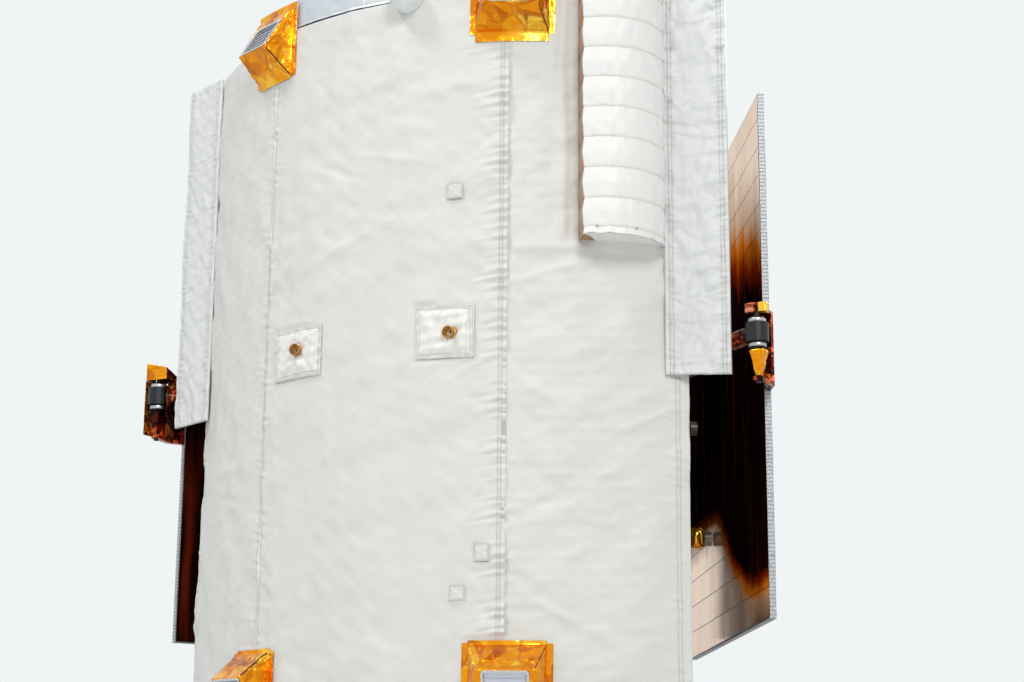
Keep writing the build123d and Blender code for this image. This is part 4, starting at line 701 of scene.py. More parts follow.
# The lower and upper ends turn in over the padding and back to the shade
foot = on_shade(np.interp(v, (0, length[-1]), (arc(COVER_FIRST), arc(COVER_LAST))), 0.001, 0.0)
closing = np.linspace(0, 1, 16)[1:, None, None]
low = points[0][None] * (1 - closing) + (foot + (0, 0, COVER_BOTTOM + 0.004))[None] * closing
low[..., 2] += 0.006 * np.sin(np.pi * closing[..., 0])
high = points[-1][None] * (1 - closing) + (foot + (0, 0, COVER_TOP - 0.012))[None] * closing
points = np.concatenate((low[::-1], points, high))
cover_uv = joined(v[None], np.concatenate((
    COVER_BOTTOM - 0.1 * closing[::-1, :, 0], z, COVER_TOP + 0.1 * closing[:, :, 0])))
finish = Finish("quilted_cloth")
s, up = finish.uv()
in_row = abs(((up - FIRST_ROW) / QUILT + 0.5) % 1.0 - 0.5) * QUILT + (up < FIRST_ROW - 0.01) * 1.0
in_row = in_row.least(abs(up - HEM_LINE))
cloudy = finish.noise(7.0, 4.0)
fibres = finish.noise(120.0, 2.0)
near = (1 - in_row / 0.007).most(0.0)
thread = (in_row < 0.0013) * (((s / 0.005) % 1.0) < 0.6)
wall = (s < 0.088)
shade = finish.mix(cloudy, (240, 240, 236), (232, 233, 230))
# Painted shade: darker beside each row of stitches, where the padding is drawn in
shade = finish.mix(near * 0.30, shade, (214, 212, 204))
shade = finish.mix(thread * 0.5, shade, (190, 184, 170))
shade = finish.mix(wall * (cloudy * 0.3 + 0.8), shade, (168, 130, 94))
# Painted shade: a dark line in the corner where the wall's foot meets the shade's cloth
shade = finish.mix((s < 0.007) * 0.8, shade, (112, 92, 58))
# The turned hem's inner edge underneath, in shadow
turned_in = (up < COVER_BOTTOM - 0.009) * (up > COVER_BOTTOM - 0.017)
shade = finish.mix(turned_in * (cloudy * 0.6 + 0.5), shade, (84, 80, 72))
quilted = finish.surface(base_color=shade, roughness=0.46 + cloudy * 0.08, specular_ior_level=0.45,
                         normal=finish.bump(fibres * 0.4 + thread - near, 0.0007))
cover_points = points.reshape(-1, 3)
cover = piece("antenna_quilt", points, grid_faces(*points.shape[:2]), quilted, uv=cover_uv)
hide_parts("antenna_cover")
# Two snaps on the hem, pressed steel with a dark well
SNAP_PROFILE = np.array((
    (0.0055, -0.006), (0.0060, 0.0004), (0.0056, 0.0016), (0.0044, 0.0022), (0.0028, 0.0016),
    (0.0022, 0.0006), (0.0002, 0.0004)))
turn = np.linspace(0, 2 * np.pi, 24, endpoint=False)[None, :, None]
for number, snap_angle in enumerate((34.5, 40.0)):
    spot = on_shade(arc(snap_angle), 0.105, 1.7935)
    outward = on_shade(arc(snap_angle), 1 - SHADE_R, 0)
    spot = cover_points[np.linalg.norm(cover_points - spot, axis=1).argmin()] + 0.001 * outward
    finish = Finish(f"snap_{number}")
    offset = finish.node("ShaderNodeVectorMath", {"operation": "DISTANCE"}, {
        0: finish.object_place(), 1: tuple(spot + 0.002 * outward)}, 1)
    worn = finish.noise(300.0)
    bare = finish.mix(worn, (208, 206, 200), (182, 180, 172))
    steel = finish.surface(base_color=finish.mix(offset < 0.0024, bare, (36, 34, 32)), metallic=0.5,
                           roughness=0.3 + worn * 0.1, normal=finish.bump(worn, 0.0002))
    reach, level = SNAP_PROFILE.T[:, :, None, None]
    ring = np.cos(turn) * np.cross(UP, outward) + np.sin(turn) * UP
    snap = piece(f"cover_snap_{number}", spot + level * outward + reach * ring,
                 grid_faces(len(SNAP_PROFILE), 24, True), steel)


# Antenna housing behind the cloth: a flat box in crumpled film.
dress("antenna_backing", crinkled_film("backing_film", (240, 204, 122), (226, 178, 88),
                                       (190, 132, 50), (130, 80, 30), 0.045, 0.26, tilt=0.3, low=0.08))

# Pads round the two nozzles: quilted squares of the cloth, bound at the rim and tied down at their
# corners, puffed up round the nozzle so that the slack runs out in soft rays.
NOZZLE_X, NOZZLE_Z = 0.277, 1.480
PADS = [
    # name, first angle, last angle, bottom, top, nozzle's side
    ("left", -19.0, -8.8, 1.390, 1.556, -1),
    ("right", 7.9, 17.1, 1.402, 1.571, 1),
]
PAD_ROWS = (0.012, 0.0055)
for name, first, last, bottom, top, side in PADS:
    wide, tall = arc(last - first), top - bottom
    s, z = (spread(0, long, 0.0030, 0.0014, (0, PAD_ROWS[0], long, long - PAD_ROWS[0]), 0.008)
            for long in (wide, tall))
    s, z = s[None], z[:, None]
    rise = swell(s, z, wide, tall, 0.004)
    nozzle_s = SHADE_R * math.asin(side * NOZZLE_X / SHADE_R) - arc(first)
    away = np.hypot(s - nozzle_s, z - (NOZZLE_Z - bottom))
    around = np.arctan2(z - (NOZZLE_Z - bottom), s - nozzle_s)
    edge = inside_rim(s, z, wide, tall)
    rays = waves(np.cos(around) * 2.2, np.sin(around) * 2.2, 2.1, 60 + side, 7)
    relief = 0.0085 * np.clip((edge - 0.014) / 0.02, 0, 1) ** 0.7
    relief = relief * np.clip((away - 0.012) / 0.03, 0, 1) ** 0.6
    relief += 0.0046 * rays * np.exp(-((away - 0.045) / 0.03) ** 2)
    relief += 0.0020 * waves(s, z, 0.035, 63 + side)
    relief += 0.0016 * groove(edge - PAD_ROWS[0], 0.0020)
    relief += 0.0012 * groove(edge - PAD_ROWS[1], 0.0014)
    # The pad's outline isn't cut quite true
    inside = np.clip(edge / 0.01, 0, 1)
    askew_s = s + arc(first) + 0.002 * waves(z, 0 * s, 0.16, 67 + side) * inside
    askew_z = z + bottom + 0.002 * waves(s, 0 * z, 0.16, 65 + side) * inside
    front = on_shade(askew_s, 0.0012 + 0.0045 * rise + relief * rise, askew_z)
    back = on_shade(askew_s, 0.0012 - 0.0004 * rise, askew_z)
    points, faces, source = two_sided(front, back)
    finish = Finish(f"pad_cloth_{name}")
    across_map, up_map = finish.uv()
    from_rim = across_map.least(wide - across_map).least(up_map.least(tall - up_map))
    rows_of_thread = (abs(from_rim - PAD_ROWS[0]) < 0.0009) + (abs(from_rim - PAD_ROWS[1]) < 0.0008)
    dashes = (((across_map + up_map) / 0.005) % 1.0) < 0.65
    cloudy = finish.noise(14.0, 4.0)
    shade = finish.mix(cloudy, (226, 225, 219), (238, 238, 234))
    # Painted shade: darker towards the rim, where the pad falls to the cloth
    shade = finish.mix((1 - from_rim / 0.014) * 0.30, shade, (200, 195, 184))
    shade = finish.mix(rows_of_thread * dashes * 0.75, shade, (158, 148, 128))
    pad_cloth = finish.surface(base_color=shade, roughness=0.34 + cloudy * 0.08, specular_ior_level=0.5,
                               normal=finish.bump(finish.noise(150.0, 2.0) * 0.5 + rows_of_thread, 0.0005))
    pad = piece(f"thruster_pad_{name}", points, faces, pad_cloth,
                uv=joined(s, z).reshape(-1, 2)[source])
    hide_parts("thruster_pads")

# Sun-side thrusters: brass-coloured bodies; round each nozzle a collar closes the pad's hole, and in
# it sit a gold-coloured bell and a dark disc across its throat, painted shade for the hole.
def cast_metal(name, colour, worn, roughness, metallic=0.95):
    finish = Finish(name)
    cloudy = finish.noise(6.0, 4.0)
    fine = finish.noise(192.0, 2.0)
    return finish.surface(base_color=finish.mix(cloudy * 1.5 - 0.35, colour, worn), metallic=metallic,
                          roughness=cloudy * 0.2 + fine * 0.1 + (roughness - 0.15),
                          normal=finish.bump(fine + cloudy, 0.0003))


brass = cast_metal("nozzle_brass", (206, 166, 112), (170, 128, 80), 0.34, metallic=0.55)
dress("sun_side_thrusters", brass)


def turned(name, profile, place, axis, material):
    """A profile of (radius, distance along) carried round an axis through a place."""
    axis = np.array(axis, float) / np.linalg.norm(axis)
    first = np.cross(axis, (0.3, 0.1, 1.0))
    first /= np.linalg.norm(first)
    second = np.cross(axis, first)
    profile = np.array(profile)
    angle = np.linspace(0, 2 * np.pi, 48, endpoint=False)
    ring = np.cos(angle)[:, None] * first + np.sin(angle)[:, None] * second
    points = np.array(place) + profile[:, None, :1] * ring + profile[:, None, 1:] * axis
    return piece(name, points, grid_faces(len(profile), 48, True), material)


golden = cast_metal("nozzle_gold", (214, 172, 100), (180, 132, 68), 0.28, metallic=0.6)
# A dark disc across each bell's throat: painted shade for the hole
throat_shade = cast_metal("nozzle_throat_shade", (44, 32, 22), (28, 20, 16), 0.5, metallic=0.3)
NOZZLE_PARTS = (
    ("collar", ((0.0120, -0.0070), (0.0130, -0.0092), (0.0160, -0.0098), (0.0198, -0.0096),
                (0.0212, -0.0080), (0.0216, -0.003), (0.0250, 0.000), (0.0255, 0.004)), brass),
    ("bell", ((0.0126, -0.0070), (0.0122, -0.0080), (0.0098, -0.0062), (0.0078, -0.0030), (0.0070, 0.006)),
     golden),
    ("throat", ((0.0074, -0.0016), (0.0068, -0.0012), (0.0002, -0.0008)), throat_shade),
)
for name, side in SIDES:
    mouth = (side * NOZZLE_X, -math.sqrt(SHADE_R ** 2 - NOZZLE_X ** 2) - 0.004, NOZZLE_Z)
    for part, profile, material in NOZZLE_PARTS:
        nozzle = turned(f"nozzle_{part}_{name}", profile, mouth, (0, 1, 0), material)

# Sun sensor housings: gold-coated amber film folded over a wedge, crumpled by hand, with taped
# flanges on the cloth, and a bright frame let into the canted window.
HOUSINGS = [
    # name, near end, way up, angle of the middle, half width at the edge, flange's and corners' angles
    ("upper_left", 2.437, 1, -22.1, 0.076, 5.3, 4.2),
    ("upper_right", 2.437, 1, 22.4, 0.086, 6.6, 5.65),
    ("lower_left", 0.540, -1, -22.1, 0.076, 5.3, 4.2),
    ("lower_right", 0.540, -1, 22.4, 0.086, 6.6, 5.65),
]
WEDGE = ((0.0, 0.002), (0.012, 0.002), (0.094, 0.100), (0.248, 0.008), (0.252, 0.002), (0.273, 0.002))
WINDOW_FIRST, WINDOW_TALL, WINDOW_WIDE = 0.008, 0.120, 0.128
FRAME_PROFILE = (
    # reach past the opening, height over the film
    (0.007, 0.0018), (0.0065, 0.0030), (0.000, 0.0034), (-0.0012, 0.0024), (-0.0016, -0.0100),
    (-0.006, -0.0108))


def crumple(u, v, size, seed):
    """Crumpled film between 0 and 1: bent sheets of folds whose slope turns over sharply (absolute
    sine waves), at three sizes, which leaves flat facets between creases."""
    random = np.random.default_rng(seed)
    total, most = 0, 0
    for octave, weight in enumerate((1.0, 0.42, 0.14)):
        for turn, start, stretch in random.uniform(0, 1, (4, 3)):
            number = np.pi * 2 ** octave * (0.6 + 0.9 * stretch) / size
            along = u * math.cos(np.pi * turn) + v * math.sin(np.pi * turn)
            beside = v * math.cos(np.pi * turn) - u * math.sin(np.pi * turn)
            bend = 0.5 * size / 2 ** octave * np.sin(0.8 * number * beside + 6 * start)
            total = total + weight * np.abs(np.sin(number * (along + bend) + 9 * stretch))
            most += weight
    return total / most


def tube(name, path, radius, material, count):
    """A round tube along a path of points; radius may change from point to point."""
    path = np.array(path, float)
    ahead = np.gradient(path, axis=0)
    ahead /= np.linalg.norm(ahead, axis=1)[:, None]
    first = np.cross(ahead, (0.31, 0.17, 0.93))
    first /= np.linalg.norm(first, axis=1)[:, None]
    second = np.cross(ahead, first)
    angle = np.linspace(0, 2 * np.pi, count, endpoint=False)[None, :, None]
    radius = np.broadcast_to(radius, (len(path), count))[..., None]
    points = path[:, None] + radius * (np.cos(angle) * first[:, None] + np.sin(angle) * second[:, None])
    points = np.concatenate((path[None, :1].repeat(count, 1) + 0.02 * (points[:1] - path[0]), points,
                             path[None, -1:].repeat(count, 1) + 0.02 * (points[-1:] - path[-1])))
    return piece(name, points, grid_faces(len(points), count, True), material)


gold_film = crinkled_film("gold_film", (255, 206, 70), (252, 164, 18), (240, 146, 8),
                          (190, 92, 4), 0.075, 0.20, metallic=0.8, tilt=0.36, low=0.03)
fold_shadow = crinkled_film("fold_shadow", (120, 50, 16), (70, 22, 8), (50, 14, 6),
                            (24, 6, 4), 0.02, 0.3, metallic=0.4)
bright_metal = cast_metal("bright_metal", (222, 224, 226), (196, 198, 200), 0.28, metallic=0.7)
ridge, ridge_high = WEDGE[2]
slope = np.array(WEDGE[3]) - WEDGE[2]
slope = slope / np.linalg.norm(slope)
window_start = ridge + slope[0] * WINDOW_FIRST
window_end = ridge + slope[0] * (WINDOW_FIRST + WINDOW_TALL)
edges = (0.0, 0.008, 0.012, 0.088, ridge, 0.098, window_start, window_end, 0.246, 0.254, WEDGE[-1][0])
t = np.unique(np.concatenate([np.linspace(a, b, max(2, int((b - a) / 0.0030) + 1))
                              for a, b in zip(edges, edges[1:])]))
up = t[:, None]
# Across: the near flange, one side, the top, the other side and its flange, one to the number
c = np.concatenate((
    np.linspace(-1, -0.001, 10, endpoint=False), np.linspace(0, 1, 26, endpoint=False),
    np.linspace(1, 2, 56), np.linspace(2, 3, 26)[1:], np.linspace(3, 4, 11)[1:]))[None]
for name, near_end, way, middle, half_width, half_angle, corner_angle in HOUSINGS:
    foot = 0.030 if name == "upper_right" else 0.012
    seat = on_shade(arc(middle), 0.0, 0)
    outward = on_shade(arc(middle), 1 - SHADE_R, 0)
    sideways = np.array((-outward[1], outward[0], 0))
    foot_half, flange = arc(corner_angle), arc(half_angle) - arc(corner_angle)
    depth = np.interp(t, *zip(*(WEDGE[:1] + ((foot, WEDGE[1][1]),) + WEDGE[2:])))[:, None]
    top_half = foot_half - (foot_half - half_width) * np.clip(
        (depth - WEDGE[1][1]) / (ridge_high - WEDGE[1][1]), 0, 1)
    across_place = np.select([c < 0, c < 1, c <= 2, c <= 3], [
        -foot_half + c * flange, -foot_half + c * (foot_half - top_half), (2 * (c - 1) - 1) * top_half,
        top_half + (c - 2) * (foot_half - top_half)], foot_half + (c - 3) * flange)
    rise = 0.002 + (depth - 0.002) * np.clip(np.minimum(c, 3 - c), 0, 1)
    seed = 100 + len(name) + (7 if way < 0 else 0)
    folds = crumple(c * 0.06 + across_place, up + 0.7 * rise, 0.052, seed) - 0.55
    coarse = crumple(c * 0.05 + across_place * 0.6, up * 0.8 + rise, 0.13, seed + 3) - 0.55
    push = (0.010 * folds + 0.012 * coarse) * (0.22 + 0.78 * np.clip((rise - 0.001) / 0.02, 0, 1))
    # The film is pulled flat round the window
    in_window = (np.abs(across_place) < WINDOW_WIDE / 2 + 0.001) & (up > window_start - 0.0002) & (
        up < window_end + 0.0002)
    near_window = np.maximum(np.abs(across_place) - WINDOW_WIDE / 2,
                             np.maximum(window_start - up, up - window_end))
    push = push * np.clip(near_window / 0.03, 0.12, 1)
    wall_push = np.where((c > 0) & (c < 1), -1, np.where((c > 2) & (c < 3), 1, 0)) * push
    bend = on_shade(arc(middle) + across_place, 0.0, 0) - seat
    curved = bend - (bend @ sideways)[..., None] * sideways
    lift = np.where(np.abs(wall_push) > 0, 0, push)
    cup = np.where((c < 0) | (c > 3), 1.0, np.clip(1 - rise / 0.02, 0, 1))
    upright_shift = -slope[1] * lift * np.where(up > ridge, 1, -1) * 0.5
    points = (seat + (across_place + wall_push)[..., None] * sideways
              + (rise + np.abs(lift) * 0.3 + lift * 0.7)[..., None] * outward + curved * cup[..., None]
              + UP * (near_end + way * (up + 0 * c + upright_shift * 0.4))[..., None])
    # The flanges meet in notched corners at the near end
    keep = (~in_window & ~((up < foot - 0.001) & ((c < -0.01) | (c > 3.01)))).ravel()
    faces = grid_faces(*points.shape[:2])
    faces = faces[keep[faces].any(1)][:, ::way]
    used, faces = np.unique(faces, return_inverse=True)
    film = piece(f"housing_film_{name}", points.reshape(-1, 3)[used], faces.reshape(-1, 4), gold_film)
    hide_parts("sensor_boxes_upper" if way > 0 else "sensor_boxes_lower")
    # A dark tube of painted shadow where the front's film is lapped over the side's
    down = np.flatnonzero((t > foot + 0.001) & (t < 0.091))
    lap = points[down, np.abs(c[0] - 2).argmin()]
    lap[2:-2] = (lap[:-4] + lap[1:-3] + lap[2:-2] + lap[3:-1] + lap[4:]) / 5
    fold = tube(f"housing_lap_shadow_{name}", lap, 0.0014 if middle > 0 else 0.0025, fold_shadow, 8)
    # Window frame: a thin tray pressed from bright sheet, its rim folded out over the film
    slope_up = np.array((0, 0, way)) * slope[0] + outward * slope[1]
    window_out = np.cross(sideways, slope_up) * (-1 if way > 0 else 1)
    window_out = window_out if window_out @ outward > 0 else -window_out
    centre = (seat + outward * ridge_high + np.array((0, 0, near_end + way * ridge))
              + slope_up * (WINDOW_FIRST + WINDOW_TALL / 2))
    rings = []
    for reach, level in FRAME_PROFILE:
        half = np.array((WINDOW_WIDE / 2 + reach, WINDOW_TALL / 2 + reach))
        corner = 0.004 + max(reach, 0)
        ring = []
        for quarter in range(4):
            turn = quarter * np.pi / 2 + np.linspace(0, np.pi / 2, 5)
            centre_of = (half - corner) * np.array(((1, 1), (-1, 1), (-1, -1), (1, -1)))[quarter]
            ring.append(centre_of + corner * np.stack((np.cos(turn), np.sin(turn)), -1))
        ring = np.concatenate(ring)
        rings.append(centre + ring[:, :1] * sideways + ring[:, 1:] * slope_up + level * window_out)
    faces = grid_faces(len(rings), 20, True)
    if np.cross(rings[0][1] - rings[0][0], rings[1][0] - rings[0][0]) @ window_out < 0:
        faces = faces[:, ::-1]
    frame_piece = piece(f"window_frame_{name}", np.array(rings), faces, bright_metal, smooth=False)

finish = Finish("sensor_glass")
cloudy = finish.noise(20.0)
# The cover glass at the lower right is painted paler: a painted reflection of the bright room
painted_glare = (finish.along(0) > 0.0) * (finish.along(2) < 1.0)
shade = finish.mix(cloudy, (104, 106, 124), (140, 142, 158))
sensor_glass = finish.surface(base_color=finish.mix(painted_glare, shade, (206, 211, 224)),
                              roughness=0.16 + cloudy * 0.1, metallic=0.35, coat_weight=0.4,
                              normal=finish.bump(finish.noise(80.0), 0.0002))
dress("sun_sensor_heads", sensor_glass)

# Top collar: a sheet of pale film stretched on a curved panel inside the shade's upper edge, with a
# pressed strip along its foot and a lap joint near the middle.
finish = Finish("pale_film")
cloudy = finish.noise(4.0, 4.0)
fine = finish.noise(40.0, 3.0)
shade = finish.mix(cloudy, (190, 200, 208), (214, 220, 225))
height = finish.along(2)
shade = finish.mix(abs(height - 2.6285) < 0.0012, shade, (206, 196, 170))
# Painted shade: the foot, which stands back behind the cloth's edge, is painted near black
shade = finish.mix((height + (cloudy - 0.5) * 0.006) < 2.6155, shade, (28, 26, 26))
pale_film = finish.surface(base_color=shade, metallic=0.25, roughness=0.30 + cloudy * 0.12,
                           normal=finish.bump(cloudy * 2.0 + fine * 0.3, 0.0015))
COLLAR_FIRST, COLLAR_LAST = arc(-17.4), arc(16)
COLLAR_BOTTOM, COLLAR_TOP = 2.5925, 2.740
COLLAR_JOINT = arc(-2.9)
s = np.sort(np.concatenate((np.linspace(COLLAR_FIRST, COLLAR_LAST, 170),
                            COLLAR_JOINT + np.array((-0.0006, 0.0006)))))[None]
z = np.linspace(COLLAR_BOTTOM, COLLAR_TOP, 40)[:, None]
relief = 0.0022 * (s < COLLAR_JOINT) + 0.0010 * waves(s, z, 0.16, 81) + 0.0006 * waves(s, z, 0.05, 82)
strip = 0.0022 * np.clip((COLLAR_BOTTOM + 0.030 - z) / 0.003, 0, 1)
rise = swell(s - COLLAR_FIRST, z - COLLAR_BOTTOM,
             COLLAR_LAST - COLLAR_FIRST, COLLAR_TOP - COLLAR_BOTTOM, 0.003)
front = on_shade(s, -0.0090 + (relief + strip - 0.002) * rise, z)
back = on_shade(s, -0.0146, z)
back[0], back[-1], back[:, 0], back[:, -1] = front[0], front[-1], front[:, 0], front[:, -1]
points, faces, _ = two_sided(front, back)
collar = piece("collar_film", points, faces, pale_film)
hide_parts("top_collar")

# Low-gain antenna: a white radome cup with a round nose on a small bracket.
finish = Finish("white_radome")
cloudy = finish.noise(12.0, 3.0)
dress("low_gain_antenna", finish.surface(
    base_color=finish.mix(cloudy, (226, 230, 233), (238, 240, 242)),
    roughness=0.30 + cloudy * 0.1, normal=finish.bump(finish.noise(200.0, 2.0), 0.0002)))


# Hinge units: a clamped arm from the body, a black damper cylinder between two worm clips on the
# hinge pin, and amber film folded round them as a cap, a side sheet and a bag under the damper.
plain_metal = cast_metal("plain_aluminium", (196, 198, 200), (168, 170, 172), 0.34)


def coated(name, colour, worn, roughness, sheen=0.0):
    """Paint or anodising with a fine grain and rubbed, lighter patches."""
    finish = Finish(name)
    cloudy = finish.noise(8.0, 5.0, 0.65)
    fine = finish.noise(200.0, 2.0)
    rubbed = (cloudy - 0.56) * 6.0
    return finish.surface(base_color=finish.mix(rubbed * 0.5 + fine * 0.12, colour, worn),
                          roughness=cloudy * 0.2 + (roughness - 0.1), coat_weight=sheen,
                          normal=finish.bump(fine + cloudy, 0.0004))


black = coated("black_paint", (26, 27, 30), (64, 65, 70), 0.42, sheen=0.15)
dress("hinge_columns", coated("damper_black", (7, 8, 11), (22, 24, 28), 0.36))
HINGE = (1.127, -0.743)
CLAMP = 0.095
# The arms are clear-anodised, with black clamps round the dampers
for name, side in SIDES:
    finish = Finish(f"arm_metal_{name}")
    x, y = finish.along(0), finish.along(1)
    from_pin = ((x - side * HINGE[0]) ** 2.0 + (y - HINGE[1]) ** 2.0) ** 0.5
    clamp = from_pin < CLAMP
    cloudy = finish.noise(6.0, 4.0)
    fine = finish.noise(190.0, 2.0)
    bare = finish.mix(cloudy, (196, 198, 200), (168, 170, 172))
    dress(f"array_arm_{name}", finish.surface(
        base_color=finish.mix(clamp, bare, finish.mix(cloudy, (7, 8, 11), (20, 22, 26))),
        metallic=0.9 - clamp * 0.8, roughness=0.32 + cloudy * 0.12, normal=finish.bump(fine, 0.0003)))
amber_film = crinkled_film("amber_film", (255, 206, 104), (250, 164, 40), (196, 100, 16),
                           (60, 18, 4), 0.016, 0.20, metallic=0.5)
deep_film = crinkled_film("deep_amber_film", (222, 112, 52), (150, 54, 22), (84, 24, 14),
                          (26, 8, 8), 0.034, 0.20, tilt=0.4)
copper_film = crinkled_film("copper_film", (255, 190, 150), (222, 128, 88), (150, 66, 36),
                            (60, 20, 12), 0.020, 0.22)
for name in ("array_yoke_left", "array_yoke_right"):
    dress(name, deep_film)


def folded_film(name, outline, low, high, material, body, seed, folds, size=0.034, peak=None,
                passage=None):
    """A film sheet hung along an outline of (x, y) places and crumpled; low and high are the heights
    of its edges at those places.  It can be folded over to a peak and cut round a passage, which is
    a line's start, its direction and a radius."""
    outline = np.array(outline, float)
    way = way_along(outline)
    v = np.linspace(0, way[-1], int(way[-1] / 0.0022) + 3)
    line = softened(np.stack([np.interp(v, way, outline[:, axis]) for axis in (0, 1)], -1), 3)
    low, high = (np.interp(v, way, np.broadcast_to(level, len(outline))) for level in (low, high))
    up = np.linspace(0, 1, int(np.max(high - low) / 0.0026) + 3)[:, None]
    z = low + (high - low) * up
    push = 2.2 * folds * (crumple(v + 0 * z, z, size, seed) - 0.55)
    points = np.stack((line[:, 0] + np.gradient(line[:, 1], v) * push,
                       line[:, 1] - np.gradient(line[:, 0], v) * push, z), -1)
    if peak is not None:
        shrink = np.linspace(0.94, 0.02, 16)[:, None, None]
        roof = peak + (points[-1] - peak) * shrink
        rough = crumple(roof[..., 0], roof[..., 1], size, seed + 1)
        roof[..., 2] += 0.003 * rough * np.sin(np.pi * shrink[..., 0])
        points = np.concatenate((points, roof))
    faces = grid_faces(*points.shape[:2])
    if passage is not None:
        start, direction, radius = passage
        centres = points.reshape(-1, 3)[faces].mean(1) - start
        from_line = np.linalg.norm(np.cross(centres, direction), axis=1)
        used, faces = np.unique(faces[from_line > radius], return_inverse=True)
        points, faces = points.reshape(-1, 3)[used], faces.reshape(-1, 4)
    sheet = piece(name, points, faces, material, body)
    sheet.modifiers.new("film", "SOLIDIFY").thickness = 0.0004
    return sheet


def film_box(name, centre, size, top, bottom, material, seed, folds, taper=(1, 1), body="bus",
             axes=None):
    """Film folded round a box and gathered: the outline is a rounded rectangle carried down from
    top to bottom, crumpled outwards, drawn together at its ends.  axes are its x, y and z."""
    count_round, count_up = 96, max(10, int((top - bottom) / 0.0035))
    turn = np.linspace(0, 2 * np.pi, count_round, endpoint=False)[None]
    up = np.linspace(0, 1, count_up)[:, None]
    wide = size[0] / 2 * (1 + (taper[0] - 1) * (1 - up))
    deep = size[1] / 2 * (1 + (taper[1] - 1) * (1 - up))
    x = np.sign(np.cos(turn)) * np.abs(np.cos(turn)) ** 0.28 * wide
    y = np.sign(np.sin(turn)) * np.abs(np.sin(turn)) ** 0.28 * deep
    z = bottom + (top - bottom) * up
    push = (crumple(turn * (size[0] + size[1]) / np.pi, z, 0.034, seed) - 0.6) * folds * 2.2
    grow = 1 + push / np.hypot(x, y)
    points = joined(x * grow, y * grow, z)
    shrink = np.array((0.9, 0.55, 0.25, 0.02))[:, None, None]
    ends = []
    for rows, way in ((points[0], -1), (points[-1], 1)):
        end = rows.mean(0) + (rows - rows.mean(0)) * shrink
        end[..., 2] += way * 0.002 * (1 - shrink[..., 0] ** 2)
        ends.append(end)
    points = np.concatenate((ends[0][::-1], points, ends[1]))
    points = points @ (np.eye(3) if axes is None else np.array(axes)) + np.array(centre)
    return piece(name, points, grid_faces(len(points), count_round, True), material, body)


ARM_Z, ARM_ROOT = 1.486, (0.600, -0.330)
BAND_PROFILE = ((0.0262, -0.0055), (0.0274, -0.0055), (0.0280, -0.0045), (0.0280, 0.0045), (0.0274, 0.0055),
                (0.0262, 0.0055))
for name, side in SIDES:
    pin = np.array((side * HINGE[0], HINGE[1], 0))
    body = f"array_{name}"
    arm_start = pin + (0, 0, ARM_Z)
    arm_way = np.array((side * ARM_ROOT[0], ARM_ROOT[1], ARM_Z)) - arm_start
    arm_long = float(np.linalg.norm(arm_way))
    arm_way = arm_way / arm_long

    def beside(*places):
        """Places measured in millimetres from the pin, outwards and to the back."""
        return [(side * (HINGE[0] + x / 1000), HINGE[1] + y / 1000) for x, y in places]

    # The arm's sleeve: film wound round the tube from the clamp to the flange
    along = np.linspace(0.046, arm_long - 0.030, 150)
    angle = np.linspace(0, 2 * np.pi, 40, endpoint=False)
    wound = crumple(along[:, None] + 0.02 * angle, 0.028 * np.sin(angle), 0.040, 230 + side)
    arm_film = tube(f"arm_sleeve_{name}", arm_start + along[:, None] * arm_way,
                    0.0275 + 0.004 * (wound - 0.3), deep_film, 40)
    # The bag under the damper, in gold film on the right; the left one is in the dark film as painted shade
    bag = film_box(f"hinge_bag_{name}", (*beside((4.5, 0))[0], 0), (0.050, 0.044), 1.4290, 1.3500,
                   gold_film if side > 0 else deep_film, 210 + side, taper=(0.36, 0.44), folds=0.0022)
    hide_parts("hinge_shrouds")
    # The back sheet, which rides with the array
    back_sheet = folded_film(f"hinge_back_{name}", beside((43 if side < 0 else 31, 43), (-2, 43)),
                             1.3485, (1.590, 1.580) if side < 0 else 1.5575, deep_film,
                             body, 240 + side, folds=0.0006)
    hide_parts(f"array_wrap_{name}")
    # Bright bands round the damper's ends
    for band, height in enumerate((1.4455, 1.5235)):
        ring = turned(f"damper_band_{name}_{band}", BAND_PROFILE, (*pin[:2], height), UP, plain_metal)
    if side < 0:
        # The left cap: gold on its face and outer side, deep red-brown towards the body, with a
        # roof that falls to the inner side; the outer sheet hangs below it, and the inner one is cut
        # round the arm
        peak = np.array((*beside((-4, 34))[0], 1.592))
        cap = folded_film("hinge_cap_front", beside((42, 40), (42, -20), (-46, -20)), 1.5455,
                          (1.600, 1.609, 1.588), gold_film, body, 203, size=0.050, folds=0.0022, peak=peak)
        cap_side = folded_film("hinge_cap_side", beside((-46, -20), (-46, 40)), 1.5455, (1.588, 1.566),
                               deep_film, body, 204, size=0.040, folds=0.0022, peak=peak)
        cap_back = folded_film("hinge_cap_back", beside((-2, 43), (-46, 42)), 1.5430, (1.580, 1.568),
                               deep_film, body, 207, folds=0.0006)
        outer = folded_film("hinge_outer_sheet", beside((42.5, 41), (42.5, -20)), 1.3500, 1.5450,
                            amber_film, body, 205, size=0.016, folds=0.0010)
        inner = folded_film("hinge_inner_sheet", beside((-48, -11), (-48, 37), (-5, 37)),
                            (1.322, 1.319, 1.332), 1.5355, deep_film, "bus", 206, size=0.050,
                            folds=0.0008, passage=(arm_start, arm_way, 0.0315))
    else:
        # On the right the yoke's upper arm wears a copper-coloured sleeve with a gold tab
        for number, (x, wide, material) in enumerate(((-17, 0.036, copper_film), (21, 0.026, gold_film))):
            tab = film_box(f"yoke_sleeve_{number}", (*beside((x, 2))[0], 0), (wide, 0.034), 1.5800, 1.5510,
                           material, 250 + number, folds=0.002, body=body)

